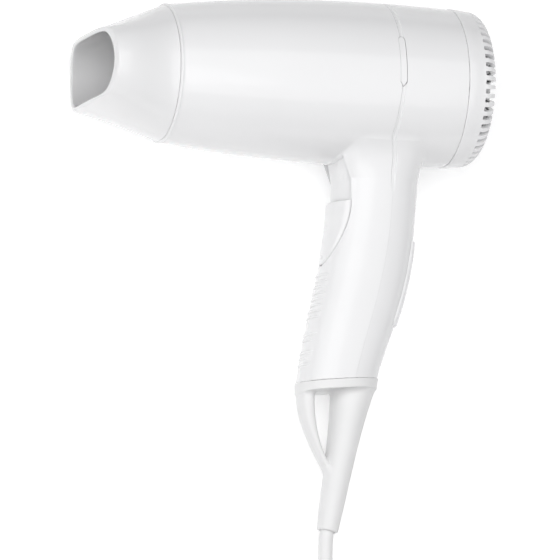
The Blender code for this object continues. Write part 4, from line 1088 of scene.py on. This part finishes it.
def guard_field(x, y, z):
    """The sleeve, the strap in front of it and the base plate, blended into one soft moulding."""
    dx, dy = x - GUARD_TOP[0], y - GUARD_TOP[1]
    along = -dx * math.sin(GUARD_LEAN) - dy * math.cos(GUARD_LEAN)
    across = dx * math.cos(GUARD_LEAN) - dy * math.sin(GUARD_LEAN)
    sleeve = np.hypot(across, z) - SLEEVE_CURVE(np.clip(along, 0.0, GUARD_LENGTH))
    sleeve = smooth_max(sleeve, along - GUARD_LENGTH, 0.9)
    sleeve = smooth_max(sleeve, -along - 7.0, 0.4)
    height = np.clip(y, STRAP_STATIONS[-1, 1], STRAP_STATIONS[0, 1])
    centre, thick, deep = [curve(height) for curve in STRAP_CURVES]
    lean = STRAP_CURVES[0].deriv()(height)
    thick = thick * np.sqrt(1 + lean**2)
    u, v = np.abs(x - centre) / thick, np.abs(z) / deep
    scale = np.maximum((u**STRAP_SQUARENESS + v**STRAP_SQUARENESS) ** (1 / STRAP_SQUARENESS), 1e-3)
    strap = np.hypot(x - centre, z) * (1 - 1 / scale) / np.sqrt(1 + lean**2)
    strap = smooth_max(strap, y - STRAP_TOP, 0.5)
    strap = smooth_max(strap, STRAP_END - y, 1.5)
    end = handle_end(x)
    plate = np.maximum(y - end + 0.04, end - BASE_THICKNESS - y)
    plate = smooth_max(grip_field(x, y, z) + 0.05, plate, 0.5)
    guard = smooth_min(smooth_min(sleeve, strap, STRAP_BLEND), plate, BASE_BLEND)
    return smooth_max(guard, y - end + 0.02, HANDLE_END_ROUND)


def make_guard():
    fine = 0.5
    axes = (steps_between((-49.0, -4.0, fine)),
            steps_between((-209.0, -144.0, fine), (-144.0, -134.5, 0.3)), steps_between((-17.0, 17.0, fine)))
    guard = surface_net("guard_and_loop", guard_field, axes)
    bore = [[guard_point(s, GUARD_BORE * math.cos(a)) + Vector((0, 0, GUARD_BORE * math.sin(a)))
             for a in around(48)] for s in (-8.0, GUARD_LENGTH + 5.0)]
    guard = combine(guard, "DIFFERENCE", loft("guard_bore", bore))
    field_piece("guard_and_loop", guard, guard_field, PVC, "root", ["cord_guard"])


make_guard()

# ---------------- table and light

TABLE_HALF, TABLE_GLOW = 6.0, 0.28
HORIZON_COLOUR, OVERHEAD_COLOUR, OVERHEAD_START = (0.08, 0.08, 0.082, 1.0), (0.30, 0.30, 0.305, 1.0), 0.75
KEY_SIDE = Vector((-0.42, -0.20, 0.88)).normalized()
LEFT_SIDE = Vector((-0.82, 0.10, 0.56)).normalized()
MIDDLE = Vector((0.02, 0.0, 0.03))
OVERHEAD, BELOW = (0.0, -0.28, 1.2), (0.0, -0.28, 0.0)


def make_table():
    corners = [(u * TABLE_HALF, v * TABLE_HALF, 0.0) for u, v in ((-1, -1), (1, -1), (1, 1), (-1, 1))]
    mesh = mesh_of("table", corners, [(0, 1, 2, 3)])
    shader = TABLE_TOP.node_tree.nodes["Principled BSDF"]
    shader.inputs["Emission Color"].default_value = (1.0, 1.0, 1.0, 1.0)
    shader.inputs["Emission Strength"].default_value = TABLE_GLOW
    mesh.materials.append(TABLE_TOP)
    as_object(mesh)


def make_softbox(name, place, aim, width, height, strength):
    """A rectangular soft light of a given radiance, in watts per square metre and steradian."""
    light = bpy.data.lights.new(name, "AREA")
    light.shape = "RECTANGLE"
    light.size, light.size_y = width, height
    light.energy = strength * width * height * math.pi
    obj = link(bpy.data.objects.new(name, light))
    obj.location = place
    towards = Vector(aim) - Vector(place)
    obj.rotation_euler = towards.to_track_quat("-Z", "Y").to_euler()
    obj.visible_camera = False


def make_room():
    """An even pale room, brighter overhead than at the horizon."""
    world = bpy.data.worlds.new("room")
    world.use_nodes = True
    tree = world.node_tree
    place = tree.nodes.new("ShaderNodeTexCoord")
    split = tree.nodes.new("ShaderNodeSeparateXYZ")
    tree.links.new(place.outputs["Generated"], split.inputs["Vector"])
    sky = tree.nodes.new("ShaderNodeValToRGB")
    low, high = sky.color_ramp.elements
    low.position, low.color = 0.0, HORIZON_COLOUR
    high.position, high.color = OVERHEAD_START, OVERHEAD_COLOUR
    tree.links.new(split.outputs["Z"], sky.inputs["Fac"])
    tree.links.new(sky.outputs["Color"], tree.nodes["Background"].inputs["Color"])
    tree.nodes["Background"].inputs["Strength"].default_value = 1.0
    bpy.context.scene.world = world


make_table()
make_room()
make_softbox("key_softbox", MIDDLE + KEY_SIDE * 1.5, MIDDLE, 1.6, 1.6, 1.1)
make_softbox("left_softbox", MIDDLE + LEFT_SIDE * 1.3, MIDDLE, 0.7, 0.7, 0.85)
make_softbox("overhead_softbox", OVERHEAD, BELOW, 1.55, 1.68, 1.36)
bpy.context.scene.view_settings.view_transform = "Standard"
